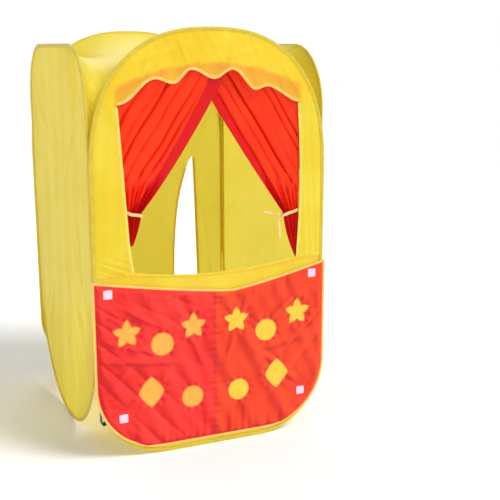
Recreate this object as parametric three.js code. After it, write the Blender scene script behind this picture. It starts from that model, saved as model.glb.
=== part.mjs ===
// A pop-up puppet theatre for a child. Four sprung wire hoops in sewn sleeves are joined at four upright
// seams into a tall booth with no floor. It has a stage window with tied-back curtains, a sign that holds
// on by hook-and-loop patches, and a slit door at the back whose loose flap folds outwards.
// Millimetres. X runs across the stage, Y from the audience to the back, and Z is up.
import * as THREE from 'three';

// Driving sizes of the booth
const standHeight = 1200;
const standWidth = 700;
const standDepth = 800;
const sideDrop = 44;
const springHeight = 796;
const archPower = 2.45;
const frontCornerRadius = 206;
const sideTopRadius = 179;
const sideBottomRadius = 373;

// Cloth, sleeves and the sprung wire in them
const clothThickness = 1.4;
const fitGap = 0.3;
const foldGap = 0.5;
const wireWidth = 2;
const wireThickness = 0.8;
const ferruleWall = 0.5;
const ferruleLength = 20;
const tapeThickness = 0.8;
const crownThickness = 1.9;
const shoulderThickness = 1.5;
const sleeveLeg = 8;
const crownHalfShare = 0.5;
const shoulderReachShare = 0.25;

// The stage window, its scalloped top edge and the sill
const leftStripTop = 79;
const leftStripFoot = 106;
const rightStripTop = 76;
const rightStripFoot = 84;
const sillHeight = 541;
const sillDip = 22;
const archClothDepth = 123;
const scallopDrop = 70;
const scallopDepth = 14;
const scallopWidth = 125;
const trimLeg = 5;

// The curtains: a pair that crosses at the top, each gathered at a tie and hanging to a point below it
const curtainThickness = 1;
const curtainHeading = 23;
const curtainDrop = 64;
const curtainFolds = 5;
const pleatShare = 0.15;
const curtainTipWidth = 6;
const crossingStartShare = 0.25;
const crossingEndShare = 0.65;
const tieThickness = 1;
const tieHeight = 9;
const leftCurtain = {
  side: -1, waistHeight: 702, tipHeight: 615, pastMiddle: 50, gathered: 44, tipInset: 13,
  bulge: 6, behindStrip: 0, sweepShare: 0.59, crossesBehind: false,
};
const rightCurtain = {
  side: 1, waistHeight: 672, tipHeight: 538, pastMiddle: 32, gathered: 51, tipInset: 6,
  bulge: 12, behindStrip: 6, sweepShare: 0.85, crossesBehind: true,
};

// The loose ends of the right tie, flat tape hanging from the knot
const tailWidth = 8;
const tailThickness = 1;
const knotSize = 11;

// The sign and its patches
const signOverhang = 4;
const signBelowSill = 15;
const signDip = 60;
const signDipAt = 55;
const signDipPower = 1.25;
const signFoot = 21;
const signCornerRadius = 198;
const signThickness = 1.2;
const signFold = 5;
const signRidgeTurns = 14;
const signRowPower = 1.3;
const signFadeShare = 0.2;
const signTrimLeg = 6;
const patchSize = 26;
const patchThickness = 1.5;
const patchTopInset = 43;
const patchTopDrop = 37;
const patchBottomInset = 77;
const patchBottomRise = 103;
const flatRoundPatchShare = 3;

// The slit door at the back: its top, its foot and the crease that the loose flap folds about
const doorTop = 752;
const doorTopInset = 122;
const doorFoot = 95;
const creaseFootInset = 84;
const slitFootInset = 95;
const slitFootWidth = 101;
const flapCurvePower = 4;
const creaseHalf = 1.2;
const flapTrimClearance = 12;
const flapTipDrop = 45;

// The storage strap, a loop of flat elastic webbing behind the front left corner
const strapWidth = 25;
const strapThickness = 1.5;
const strapTop = 300;
const strapFoot = 108;
const strapInset = 15;
const strapSpan = 12;

// How finely the curves are stepped
const cornerSteps = 7;
const archSteps = 22;
const scallopSteps = 36;
const sillSteps = 10;
const roofAcross = 20;
const roofAlong = 14;
const relaxPasses = 300;
const seamSteps = 6;
const flapSteps = 12;
const bendSteps = 4;
const curtainAcross = 4 * curtainFolds;
const curtainDown = 8;
const tailDown = 4;
const signAcross = 9;
const signUp = 11;

// Places that follow from the sizes above
const pocketHalf = wireThickness / 2 + fitGap + ferruleWall + fitGap;
const pocketReach = wireWidth / 2 + fitGap + ferruleWall + fitGap;
const crownReach = pocketReach + crownThickness;
const shoulderHalf = pocketHalf + shoulderThickness;
const sleeveHalf = pocketHalf + tapeThickness;
const hingeOffset = 2 * shoulderHalf + foldGap;
const loopHalf = standWidth / 2 - crownReach;
const loopDepth = standDepth - 2 * shoulderHalf;
const frontY = -loopDepth / 2;
const backY = loopDepth / 2;
const sideHalf = loopDepth / 2 - 2 * hingeOffset;
const archRise = standHeight - crownReach - springHeight;
const sideTop = standHeight - sideDrop - crownReach;
const clothHalf = clothThickness / 2;
const windowTopLeft = loopHalf - leftStripTop;
const windowFootLeft = loopHalf - leftStripFoot;
const windowTopRight = loopHalf - rightStripTop;
const windowFootRight = loopHalf - rightStripFoot;
const scallopTop = standHeight - archClothDepth;
const archSeamHeight = scallopTop - scallopDrop - scallopDepth - fitGap - tapeThickness;

const cloth = (color, roughness = 0.55) =>
  new THREE.MeshStandardMaterial({ color, roughness, metalness: 0, side: THREE.DoubleSide });
const yellowCloth = cloth('#efe05a');
const archCloth = cloth('#f4dc3c');
const bindingTape = cloth('#f2e21c', 0.65);
const paleTape = cloth('#ffd768', 0.65);
const curtainCloth = cloth('#ff3b1a', 0.5);
const tieTape = cloth('#ffcf5a', 0.7);
const signRed = cloth('#ea1418', 0.5);
const signOrange = cloth('#f0481f', 0.5);
const patchPile = cloth('#f5d5e5', 0.9);
const blackWebbing = cloth('#141414', 0.8);
const springSteel = new THREE.MeshStandardMaterial({ color: '#8d9094', roughness: 0.35, metalness: 1 });

// Planes that flat outlines are drawn on: across, up, and out of the plane
const onFront = (across, up, out) => [across, frontY + out, up];
const onBack = (across, up, out) => [across, backY + out, up];
const onLeft = (across, up, out) => [-loopHalf + out, across, up];
const onRight = (across, up, out) => [loopHalf + out, across, up];

// A closed mesh from corners and triangles, turned so that its faces look outwards
function solid(name, material, corners, triangles) {
  const corner = (i) => new THREE.Vector3(...corners[i]);
  const volume = triangles.reduce((sum, [a, b, c]) => sum + corner(a).dot(corner(b).cross(corner(c))), 0);
  const outward = volume < 0 ? triangles.map(([a, b, c]) => [a, c, b]) : triangles;
  const geometry = new THREE.BufferGeometry();
  geometry.setAttribute('position', new THREE.Float32BufferAttribute(corners.flat(), 3));
  geometry.setIndex(outward.flat());
  geometry.computeVertexNormals();
  const mesh = new THREE.Mesh(geometry, material);
  mesh.name = name;
  return mesh;
}

// Triangles that fill an outline, all running the same way round as the outline does
function fill(outline) {
  const points = outline.map(([p, q]) => new THREE.Vector2(p, q));
  const way = Math.sign(THREE.ShapeUtils.area(points));
  return THREE.ShapeUtils.triangulateShape(points, []).map(([a, b, c]) => {
    const area = THREE.ShapeUtils.area([points[a], points[b], points[c]]);
    return Math.sign(area) === way ? [a, b, c] : [a, c, b];
  });
}

// Rings of corners joined one to the next, closed into a hoop or capped at both ends
function skin(name, material, rings, cap) {
  const count = rings[0].length;
  const triangles = [];
  const spans = cap ? rings.length - 1 : rings.length;
  for (let i = 0; i < spans; i++) {
    const next = ((i + 1) % rings.length) * count;
    for (let k = 0; k < count; k++) {
      const a = i * count + k;
      const b = i * count + (k + 1) % count;
      triangles.push([a, b, next + (k + 1) % count], [a, next + (k + 1) % count, next + k]);
    }
  }
  if (cap) {
    const last = (rings.length - 1) * count;
    cap.forEach(([a, b, c]) => triangles.push([a, c, b], [last + a, last + b, last + c]));
  }
  return solid(name, material, rings.flat(), triangles);
}

// The direction that points off a path to its right at one of its points, lengthened at a corner so that an
// offset path keeps its distance. On a loop that runs anticlockwise it points outwards.
function mitre(path, closed, i) {
  const count = path.length;
  const normal = (j) => {
    const [p, q] = [path[(j + count) % count], path[(j + 1) % count]];
    const length = Math.hypot(q[0] - p[0], q[1] - p[1]);
    return [(q[1] - p[1]) / length, (p[0] - q[0]) / length];
  };
  const before = closed || i > 0 ? normal(i - 1) : normal(i);
  const after = closed || i < count - 1 ? normal(i) : normal(i - 1);
  const spread = 1 + before[0] * after[0] + before[1] * after[1];
  return [(before[0] + after[0]) / spread, (before[1] + after[1]) / spread];
}

function offset(path, closed, reach) {
  return path.map(([p, q], i) => {
    const [u, v] = mitre(path, closed, i);
    return [p + u * reach, q + v * reach];
  });
}

// A section swept along a path on a plane. Its points are given off the path and out of the plane.
function sweep(name, material, path, closed, section, place) {
  const rings = path.map(([p, q], i) => {
    const [u, v] = mitre(path, closed, i);
    return section.map(([off, out]) => place(p + u * off, q + v * off, out));
  });
  return skin(name, material, rings, closed ? null : fill(section));
}

// A flat sheet of an outline between two distances out of its plane
function plate(name, material, outline, low, high, place) {
  const ring = (out) => outline.map(([p, q]) => place(p, q, out));
  return skin(name, material, [ring(low), ring(high)], fill(outline));
}

// A cloth of even thickness on a grid of points, rows by columns
function clothSheet(name, material, grid, thickness) {
  const rows = grid.length;
  const columns = grid[0].length;
  const point = (r, c) => new THREE.Vector3(...grid[r][c]);
  const side = (way) => grid.map((row, r) => row.map((_, c) => {
    const along = point(Math.min(r + 1, rows - 1), c).sub(point(Math.max(r - 1, 0), c));
    const across = point(r, Math.min(c + 1, columns - 1)).sub(point(r, Math.max(c - 1, 0)));
    return point(r, c).addScaledVector(along.cross(across).normalize(), way * thickness / 2).toArray();
  }));
  const corners = [...side(1).flat(), ...side(-1).flat()];
  const under = rows * columns;
  const triangles = [];
  for (let r = 0; r < rows - 1; r++) {
    for (let c = 0; c < columns - 1; c++) {
      const a = r * columns + c;
      const [b, d, e] = [a + 1, a + columns, a + columns + 1];
      triangles.push([a, b, e], [a, e, d]);
      triangles.push([under + a, under + e, under + b], [under + a, under + d, under + e]);
    }
  }
  const rim = [];
  for (let c = 0; c < columns - 1; c++) rim.push(c);
  for (let r = 0; r < rows - 1; r++) rim.push(r * columns + columns - 1);
  for (let c = columns - 1; c > 0; c--) rim.push((rows - 1) * columns + c);
  for (let r = rows - 1; r > 0; r--) rim.push(r * columns);
  rim.forEach((a, i) => {
    const b = rim[(i + 1) % rim.length];
    triangles.push([b, a, under + a], [b, under + a, under + b]);
  });
  return solid(name, material, corners, triangles);
}

const between = (from, to, share) => from + (to - from) * share;
const steps = (count, make) => Array.from({ length: count + 1 }, (_, i) => make(i / count));
const smooth = (share) => share * share * (3 - 2 * share);

// Keeps the part of a convex outline that lies left of the line from one point to another
function clip(outline, [ax, az], [bx, bz]) {
  const height = ([p, q]) => (bx - ax) * (q - az) - (bz - az) * (p - ax);
  return outline.flatMap((point, i) => {
    const next = outline[(i + 1) % outline.length];
    const [here, there] = [height(point), height(next)];
    const kept = here >= 0 ? [point] : [];
    if (here * there >= 0) return kept;
    const share = here / (here - there);
    return [...kept, [between(point[0], next[0], share), between(point[1], next[1], share)]];
  });
}

// The middle line of the front and back hoops: a flat foot, round corners, straight posts and an arch
function archHoop() {
  const corner = loopHalf - frontCornerRadius;
  const low = crownReach + frontCornerRadius;
  const power = 2 / archPower;
  const right = steps(cornerSteps, (s) => {
    const turn = (s - 1) * Math.PI / 2;
    return [corner + frontCornerRadius * Math.cos(turn), low + frontCornerRadius * Math.sin(turn)];
  });
  const arch = steps(archSteps, (s) => {
    const [x, z] = [Math.cos(s * Math.PI), Math.sin(s * Math.PI)];
    return [loopHalf * Math.sign(x) * Math.abs(x) ** power, springHeight + archRise * Math.abs(z) ** power];
  });
  return [...right, ...arch, ...right.map(([x, z]) => [-x, z]).reverse()];
}

// The middle line of a side hoop: a round foot that is nearly a half circle, and smaller top corners
function sideHoop() {
  const quarter = (radius, x, z, start) => steps(cornerSteps, (s) => {
    const turn = start + s * Math.PI / 2;
    return [x + radius * Math.cos(turn), z + radius * Math.sin(turn)];
  });
  const foot = sideHalf - sideBottomRadius;
  const top = sideHalf - sideTopRadius;
  return [
    ...quarter(sideBottomRadius, foot, crownReach + sideBottomRadius, -Math.PI / 2),
    ...quarter(sideTopRadius, top, sideTop - sideTopRadius, 0),
    ...quarter(sideTopRadius, -top, sideTop - sideTopRadius, Math.PI / 2),
    ...quarter(sideBottomRadius, -foot, crownReach + sideBottomRadius, Math.PI),
  ];
}

const archPath = archHoop();
const sidePath = sideHoop();
const archClothEdge = offset(archPath, true, -pocketReach);
const sideClothEdge = offset(sidePath, true, -pocketReach);

// The tape sleeve of a hoop, folded round the wire and the cloth's edge
const sleeveSection = [
  [crownReach, shoulderHalf * crownHalfShare],
  [crownReach, -shoulderHalf * crownHalfShare],
  [crownReach * shoulderReachShare, -shoulderHalf],
  [-sleeveLeg, -sleeveHalf],
  [-sleeveLeg, -pocketHalf],
  [pocketReach, -pocketHalf],
  [pocketReach, pocketHalf],
  [-sleeveLeg, pocketHalf],
  [-sleeveLeg, sleeveHalf],
  [crownReach * shoulderReachShare, shoulderHalf],
];

// A narrow tape folded over a raw edge of cloth that lies on the path
function trimSection(thickness, leg) {
  const slot = thickness / 2 + fitGap;
  const half = slot + tapeThickness;
  return [
    [fitGap + tapeThickness, half], [fitGap + tapeThickness, -half], [-leg, -half], [-leg, -slot],
    [fitGap, -slot], [fitGap, slot], [-leg, slot], [-leg, half],
  ];
}
const trimHalf = clothHalf + fitGap + tapeThickness;
const trimRise = fitGap + tapeThickness;

// One sprung hoop: sleeve, flat wire and the crimped ferrule that joins the wire's ends
function hoop(name, path, place, ferruleAt) {
  const wire = [
    [wireWidth / 2, wireThickness / 2], [wireWidth / 2, -wireThickness / 2],
    [-wireWidth / 2, -wireThickness / 2], [-wireWidth / 2, wireThickness / 2],
  ];
  const [innerUp, innerOut] = [wireWidth / 2 + fitGap, wireThickness / 2 + fitGap];
  const aroundWire = [[innerOut, -innerUp], [innerOut, innerUp], [-innerOut, innerUp], [-innerOut, -innerUp]];
  const crimp = [
    [0, -ferruleLength / 2], [ferruleWall, -ferruleLength / 2],
    [ferruleWall, ferruleLength / 2], [0, ferruleLength / 2],
  ];
  return [
    sweep(`${name}_binding`, bindingTape, path, true, sleeveSection, place),
    sweep(`${name}_wire`, springSteel, path, true, wire, place),
    sweep(`${name}_ferrule`, springSteel, aroundWire, true, crimp,
      (out, up, along) => place(along, ferruleAt + up, out)),
  ];
}

// The upright sewn seam between two hoops, filling the gap at their fold axis and fixed to the arched hoop
function uprightSeam(name, axisX, axisY, towards) {
  const radius = hingeOffset - crownReach - fitGap;
  const foot = hingeOffset - shoulderHalf - fitGap;
  const round = steps(seamSteps, (s) => {
    const turn = between(-Math.PI / 6, Math.PI * 7 / 6, s);
    return [radius * Math.cos(turn), -towards * radius * Math.sin(turn)];
  });
  const outline = [...round, [-radius / 2, towards * foot], [radius / 2, towards * foot]];
  const low = Math.max(frontCornerRadius, sideBottomRadius) + crownReach + sleeveLeg;
  const high = Math.min(springHeight, sideTop - sideTopRadius) - sleeveLeg;
  return plate(name, bindingTape, outline, low, high, (p, q, up) => [axisX + p, axisY + q, up]);
}

// Where the inner edge of the front cloth lies at a height, on the right
function clothEdgeAt(height) {
  const i = archClothEdge.findIndex(([x, z], k) => x > 0 && z <= height && archClothEdge[k + 1][1] > height);
  const [from, to] = [archClothEdge[i], archClothEdge[i + 1]];
  return between(from[0], to[0], (height - from[1]) / (to[1] - from[1]));
}

const scallop = (x, half) =>
  scallopTop - scallopDrop * (x / half) ** 2 - scallopDepth * Math.cos(2 * Math.PI * x / scallopWidth);
const sill = (x, half) => sillHeight - sillDip * Math.max(0, 1 - (x / half) ** 2);

// The cloth front: an arch with a scalloped edge, two side strips and the panel under the window
function clothFront() {
  const scallops = steps(scallopSteps, (s) => {
    const x = between(-windowTopLeft, windowTopRight, s);
    return [x, scallop(x, x < 0 ? windowTopLeft : windowTopRight)];
  });
  const seamEdge = clothEdgeAt(archSeamHeight);
  const arch = [
    [seamEdge, archSeamHeight], ...archClothEdge.filter(([, z]) => z > archSeamHeight),
    [-seamEdge, archSeamHeight], [-windowTopLeft - trimLeg - fitGap, archSeamHeight], ...scallops,
    [windowTopRight + trimLeg + fitGap, archSeamHeight],
  ];
  const stripTop = archSeamHeight - fitGap;
  const stripFoot = sillHeight + trimRise + fitGap;
  const strip = (side, top, foot) => {
    const post = archClothEdge
      .filter(([x, z]) => x * side > 0 && z > stripFoot && z < stripTop)
      .sort((p, q) => q[1] - p[1]);
    return [
      [side * clothEdgeAt(stripTop), stripTop], ...post, [side * clothEdgeAt(stripFoot), stripFoot],
      [side * foot, stripFoot], [side * top, stripTop],
    ];
  };
  const sills = steps(sillSteps, (s) => {
    const x = between(windowFootRight, -windowFootLeft, s);
    return [x, sill(x, x < 0 ? windowFootLeft : windowFootRight)];
  });
  const sillEdge = clothEdgeAt(sillHeight);
  const lower = [
    [-sillEdge, sillHeight], ...archClothEdge.filter(([x, z]) => x < 0 && z < sillHeight),
    ...archClothEdge.filter(([x, z]) => x > 0 && z < sillHeight), [sillEdge, sillHeight], ...sills,
  ];
  const trim = trimSection(clothThickness, trimLeg);
  const sleeveEdge = loopHalf - sleeveLeg - fitGap;
  const hemmed = [[sleeveEdge, sillHeight], ...sills, [-sleeveEdge, sillHeight]];
  const trimEnd = (from, to) => {
    const length = Math.hypot(to[0] - from[0], to[1] - from[1]);
    return [between(from[0], to[0], fitGap / length), between(from[1], to[1], fitGap / length)];
  };
  const edge = (side, top, foot) => {
    const ends = [[side * foot, stripFoot], [side * top, stripTop - trimRise]];
    const kept = [trimEnd(ends[0], ends[1]), ends[1]];
    return side < 0 ? kept : kept.reverse();
  };
  const sheet = (name, material, outline) => plate(name, material, outline, -clothHalf, clothHalf, onFront);
  const hem = (name, material, path) => sweep(name, material, path, false, trim, onFront);
  return [
    sheet('front_arch_panel', archCloth, arch),
    sheet('front_left_strip', yellowCloth, strip(-1, windowTopLeft, windowFootLeft)),
    sheet('front_right_strip', yellowCloth, strip(1, windowTopRight, windowFootRight)),
    sheet('front_lower_panel', yellowCloth, lower),
    hem('scallop_piping', paleTape, scallops),
    hem('window_piping_left', bindingTape, edge(-1, windowTopLeft, windowFootLeft)),
    hem('window_piping_right', bindingTape, edge(1, windowTopRight, windowFootRight)),
    hem('sill_hem', archCloth, hemmed),
  ];
}

// The roof: cloth drawn between both arches and the tops of the side hoops, relaxed like a soap film
function roof() {
  const clear = shoulderHalf + fitGap + clothHalf;
  const power = 2 / archPower;
  const arch = (share, y) => {
    const [x, z] = [-Math.cos(share * Math.PI), Math.sin(share * Math.PI)];
    const reach = (loopHalf - clear) * Math.abs(x) ** power;
    return [Math.sign(x) * reach, y, springHeight + archRise * z ** power];
  };
  const post = sideTop - sideTopRadius - springHeight;
  const turn = sideTopRadius * Math.PI / 2;
  const flat = sideHalf - sideTopRadius;
  const half = (share, side, way) => {
    const run = share * (post + turn + flat);
    const x = side * (loopHalf - clear);
    const onPost = between(loopDepth / 2 - clear, sideHalf, run / post);
    if (run < post) return [x, way * onPost, springHeight + run];
    if (run > post + turn) return [x, way * (flat - (run - post - turn)), sideTop];
    const angle = (run - post) / sideTopRadius;
    const [along, up] = [sideTopRadius * Math.cos(angle), sideTopRadius * Math.sin(angle)];
    return [x, way * (flat + along), sideTop - sideTopRadius + up];
  };
  const sideEdge = (share, side) => (share < 0.5 ? half(2 * share, side, -1) : half(2 - 2 * share, side, 1));
  const grid = steps(roofAlong, (v) => steps(roofAcross, (u) => {
    if (v === 0) return arch(u, frontY + clear);
    if (v === 1) return arch(u, backY - clear);
    const [left, right] = [sideEdge(v, -1), sideEdge(v, 1)];
    return left.map((value, axis) => between(value, right[axis], u));
  }));
  for (let pass = 0; pass < relaxPasses; pass++) {
    for (let r = 1; r < roofAlong; r++) {
      for (let c = 1; c < roofAcross; c++) {
        const around = [grid[r - 1][c], grid[r + 1][c], grid[r][c - 1], grid[r][c + 1]];
        const mean = (axis) => around.reduce((sum, point) => sum + point[axis], 0) / around.length;
        grid[r][c] = [mean(0), mean(1), mean(2)];
      }
    }
  }
  return clothSheet('roof_panel', yellowCloth, grid, clothThickness);
}

// Where a curtain's edges are, from the window that it hangs in
function curtainEdges(c) {
  const [top, foot] = c.side < 0 ? [windowTopLeft, windowFootLeft] : [windowTopRight, windowFootRight];
  const windowAt = between(foot, top, (c.waistHeight - sillHeight) / (archSeamHeight - sillHeight));
  const outerWaist = windowAt + c.behindStrip;
  return {
    outerTop: top + trimLeg, leadTop: -c.pastMiddle,
    outerWaist, leadWaist: outerWaist - c.gathered, middle: outerWaist - c.gathered / 2,
    tipAt: outerWaist - c.tipInset,
  };
}

const pleatDepth = (width) => pleatShare * width / curtainFolds;
const curtainRest = trimHalf + fitGap + curtainThickness / 2;
const waistY = frontY + curtainRest + tieThickness + fitGap;

// Where a curtain's middle surface lies, row by row: pleats from the top edge to the tie, then a short point
function curtainGrid(c) {
  const edges = curtainEdges(c);
  const topWidth = (one) => curtainEdges(one).outerTop + one.pastMiddle;
  const widest = Math.max(topWidth(leftCurtain), topWidth(rightCurtain));
  const crossing = c.crossesBehind ? 2 * pleatDepth(widest) + curtainThickness + 4 * fitGap : 0;
  const row = (outer, lead, depth, y, heightAt) => steps(curtainAcross, (u) => {
    const pleat = depth * (1 - Math.cos(2 * Math.PI * curtainFolds * u));
    return [c.side * between(outer, lead, u), y(u) + pleat, heightAt(u)];
  });
  const sweepIn = (v) => c.sweepShare * v + (1 - c.sweepShare) * v ** 3;
  const crossed = (u) => smooth(Math.min(1, Math.max(0,
    (u - crossingStartShare) / (crossingEndShare - crossingStartShare))));
  const topAt = (u) => {
    const share = between(edges.outerTop, edges.leadTop, u) / edges.outerTop;
    return scallopTop + curtainHeading - curtainDrop * share ** 2;
  };
  const hang = steps(curtainDown, (v) => {
    const outer = between(edges.outerTop, edges.outerWaist, v);
    const lead = between(edges.leadTop, edges.leadWaist, sweepIn(v));
    const y = (u) => between(frontY + curtainRest, waistY, v * v) + crossing * crossed(u) * (1 - v * v);
    const height = (u) => between(topAt(u), c.waistHeight + tieHeight / 2, v);
    return row(outer, lead, pleatDepth(outer - lead), y, height);
  });
  const point = steps(tailDown, (v) => {
    const swell = c.bulge * Math.sin(Math.PI * v);
    const outer = between(edges.outerWaist, edges.tipAt + curtainTipWidth / 2, v) + swell / 2;
    const lead = between(edges.leadWaist, edges.tipAt - curtainTipWidth / 2, v) - swell / 2;
    return row(outer, lead, pleatDepth(c.gathered) * (1 - v), () => waistY,
      () => between(c.waistHeight - tieHeight / 2, c.tipHeight, v));
  });
  return [...hang, ...point];
}

// The tape ring that gathers a curtain
const ringSlack = fitGap + tieHeight / 2;
const waistMiddleY = (c) => waistY + pleatDepth(c.gathered);

function tieRing(name, c) {
  const x = c.gathered / 2 + ringSlack;
  const y = pleatDepth(c.gathered) + curtainThickness / 2 + fitGap;
  const corner = y / 2;
  const around = [
    [x - corner, -y], [x, -y + corner], [x, y - corner], [x - corner, y],
    [-x + corner, y], [-x, y - corner], [-x, -y + corner], [-x + corner, -y],
  ];
  const band = [
    [0, -tieHeight / 2], [tieThickness, -tieHeight / 2], [tieThickness, tieHeight / 2], [0, tieHeight / 2],
  ];
  const middle = c.side * curtainEdges(c).middle;
  return sweep(name, tieTape, around, true, band,
    (p, q, up) => [middle + p, waistMiddleY(c) + q, c.waistHeight + up]);
}

// The right tie's knot at the curtain's leading edge, and its two loose ends of flat tape
function knotAndTails(c) {
  const half = knotSize / 2;
  const bevel = half / 2;
  const knotX = curtainEdges(c).leadWaist - ringSlack - tieThickness - fitGap - half;
  const onKnot = (across, up, out) => [knotX + across, waistMiddleY(c) + out, c.waistHeight + up];
  const octagon = [
    [half, -bevel], [half, bevel], [bevel, half], [-bevel, half],
    [-half, bevel], [-half, -bevel], [-bevel, -half], [bevel, -half],
  ];
  const section = [
    [tailThickness / 2, -tailWidth / 2], [tailThickness / 2, tailWidth / 2],
    [-tailThickness / 2, tailWidth / 2], [-tailThickness / 2, -tailWidth / 2],
  ];
  const start = half + fitGap;
  const sideRoute = [[-start, 0], [-14, 1], [-23, 3], [-32, 6], [-42, 9], [-52, 11]];
  const downRoute = [[0, -start], [-0.6, -16], [0.4, -27], [3, -38], [4.2, -49], [3.4, -60], [4.4, -71]];
  return [
    plate('tie_knot', tieTape, octagon, -half, half, onKnot),
    sweep('tie_tail_side', tieTape, sideRoute, false, section, onKnot),
    sweep('tie_tail_down', tieTape, downRoute, false, section, onKnot),
  ];
}

// The sign's own outline, and the folds that fan out from the middle of its foot
const signTrimHalf = signThickness / 2 + fitGap + tapeThickness;
const signY = frontY - shoulderHalf - fitGap - signTrimHalf;
const signHalfWidth = standWidth / 2 + signOverhang;
const signCornerHeight = sillHeight - signBelowSill;
const signHeight = signCornerHeight - signFoot;
const patchTop = [signHalfWidth - patchTopInset, signCornerHeight - patchTopDrop];
const patchFoot = [signHalfWidth - patchBottomInset, signFoot + patchBottomRise];

function signTopAt(x) {
  const reach = x < signDipAt ? signDipAt + signHalfWidth : signHalfWidth - signDipAt;
  return signCornerHeight - signDip * (1 - (Math.abs(x - signDipAt) / reach) ** signDipPower);
}

function signPoint(side, u, v) {
  const short = Math.max(0, signCornerRadius - v * signHeight);
  const edge = signHalfWidth - signCornerRadius + Math.sqrt(signCornerRadius ** 2 - short ** 2);
  const x = side * between(fitGap / 2, edge, u);
  return [x, between(signFoot, signTopAt(x), v)];
}

// How far the cloth stands forward at a place: nothing along its edges and round its patches
function signFoldAt(x, z, u, v) {
  const angle = Math.atan2(z - signFoot + signCornerRadius, Math.abs(x) + signCornerRadius);
  const ridges = (1 + Math.cos(angle * signRidgeTurns)) / 2;
  const fade = (far) =>
    smooth(Math.min(1, Math.max(0, (far - 2 * signTrimLeg) / (signFadeShare * signHalfWidth))));
  const inside = fade((1 - u) * signHalfWidth) * fade(v * signHeight) * fade((1 - v) * signHeight);
  const patch = 2 * z > signCornerHeight + signFoot ? patchTop : patchFoot;
  const away = Math.hypot(Math.abs(x) - patch[0], z - patch[1]) / (flatRoundPatchShare * patchSize);
  return signFold * ridges * inside * smooth(Math.min(1, Math.max(0, away - 1)));
}

function sign() {
  const borderAcross = 2 * signTrimLeg / signHalfWidth;
  const borderUp = 2 * signTrimLeg / signHeight;
  const columns = [...steps(signAcross - 1, (t) => t * (1 - borderAcross)), 1];
  const rows = [0, ...steps(signUp - 2, (t) => between(borderUp, 1 - borderUp, t ** signRowPower)), 1];
  const half = (name, material, side) => {
    const grid = rows.map((v) => columns.map((u) => {
      const [x, z] = signPoint(side, u, v);
      return [x, signY - signFoldAt(x, z, u, v), z];
    }));
    return clothSheet(name, material, grid, signThickness);
  };
  const outline = (side) => [
    ...rows.map((v) => signPoint(side, 1, v)),
    ...columns.slice(0, -1).reverse().map((u) => signPoint(side, u, 1)),
  ];
  const right = outline(1);
  const left = outline(-1).reverse();
  const trim = trimSection(signThickness, signTrimLeg);
  const onSign = (across, up, out) => [across, signY + out, up];
  const joined = [...right.slice(0, -1), [0, signTopAt(0)], ...left.slice(1)];
  return [
    half('sign_left', signRed, -1),
    half('sign_right', signOrange, 1),
    sweep('sign_binding', paleTape, joined, true, trim, onSign),
  ];
}

// Squares of hook-and-loop: hooks on the booth, loops on the back of the sign, and loops on its face
const patchPlaces = {
  top_left: [-patchTop[0], patchTop[1]],
  top_right: patchTop,
  bottom_left: [-patchFoot[0], patchFoot[1]],
  bottom_right: patchFoot,
};

function patches(kind, low, high) {
  return Object.entries(patchPlaces).map(([place, [x, z]]) => {
    const half = patchSize / 2;
    const square = [[x + half, z - half], [x + half, z + half], [x - half, z + half], [x - half, z - half]];
    return plate(`${kind}_${place}`, patchPile, square, low, high, onFront);
  });
}

// The back wall: cloth above the crease and right of the slit, a strip along the foot, and the loose flap
function clothBack() {
  const apex = loopHalf - doorTopInset;
  const slitFoot = loopHalf - slitFootInset;
  const crease = [[creaseFootInset - loopHalf, doorFoot], [apex, doorTop]];
  const length = Math.hypot(crease[1][0] - crease[0][0], crease[1][1] - crease[0][1]);
  const along = [(crease[1][0] - crease[0][0]) / length, (crease[1][1] - crease[0][1]) / length];
  const shifted = (out) => crease.map(([x, z]) => [x - along[1] * out, z + along[0] * out]);
  const level = (height) => [[-standWidth, height], [standWidth, height]];
  const [upperFrom, upperTo] = shifted(creaseHalf);
  const [borderFrom, borderTo] = shifted(creaseHalf - fitGap);
  const [flapFrom, flapTo] = shifted(-creaseHalf);
  const [footFrom, footTo] = level(doorFoot - fitGap);
  const [wallFrom, wallTo] = level(doorFoot);
  const upper = clip(clip(archClothEdge, upperFrom, upperTo), wallFrom, wallTo);
  const underCrease = clip(clip(archClothEdge, borderTo, borderFrom), wallFrom, wallTo);
  const border = clip(underCrease, [apex + trimLeg, doorTop], [slitFoot, doorFoot]);
  const foot = clip(archClothEdge, footTo, footFrom);
  const flapFoot = doorFoot + trimRise + fitGap;
  const onCrease = (z) => between(flapFrom[0], flapTo[0], (z - flapFrom[1]) / (flapTo[1] - flapFrom[1]));
  const free = steps(flapSteps, (s) => {
    const z = between(flapFoot, doorTop - flapTipDrop, s);
    const share = ((z - flapFoot) / (doorTop - flapFoot)) ** flapCurvePower;
    return [between(slitFoot - slitFootWidth, apex - trimLeg, share), z];
  });
  const tip = free[free.length - 1];
  const flap = [[onCrease(flapFoot), flapFoot], ...free, [onCrease(tip[1]), tip[1]]];
  const hemmed = [[onCrease(flapFoot) + flapTrimClearance, flapFoot], ...free.slice(0, -1)];
  const round = steps(seamSteps, (s) => {
    const turn = s * 2 * Math.PI * seamSteps / (seamSteps + 1);
    return [(creaseHalf - fitGap) * Math.cos(turn), (creaseHalf - fitGap) * Math.sin(turn)];
  });
  const onCreaseLine = (p, q, run) =>
    onBack(crease[0][0] + along[0] * run - along[1] * p, crease[0][1] + along[1] * run + along[0] * p, q);
  const sheet = (name, outline) => plate(name, yellowCloth, outline, -clothHalf, clothHalf, onBack);
  return {
    wall: [
      sheet('back_upper_panel', upper),
      sheet('back_right_border', border),
      sheet('back_foot_strip', foot),
      plate('door_crease', yellowCloth, round, trimLeg, length - trimLeg, onCreaseLine),
    ],
    flap: [
      sheet('door_flap', flap),
      sweep('door_flap_hem', bindingTape, hemmed, false, trimSection(clothThickness, trimLeg), onBack),
    ],
  };
}

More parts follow.
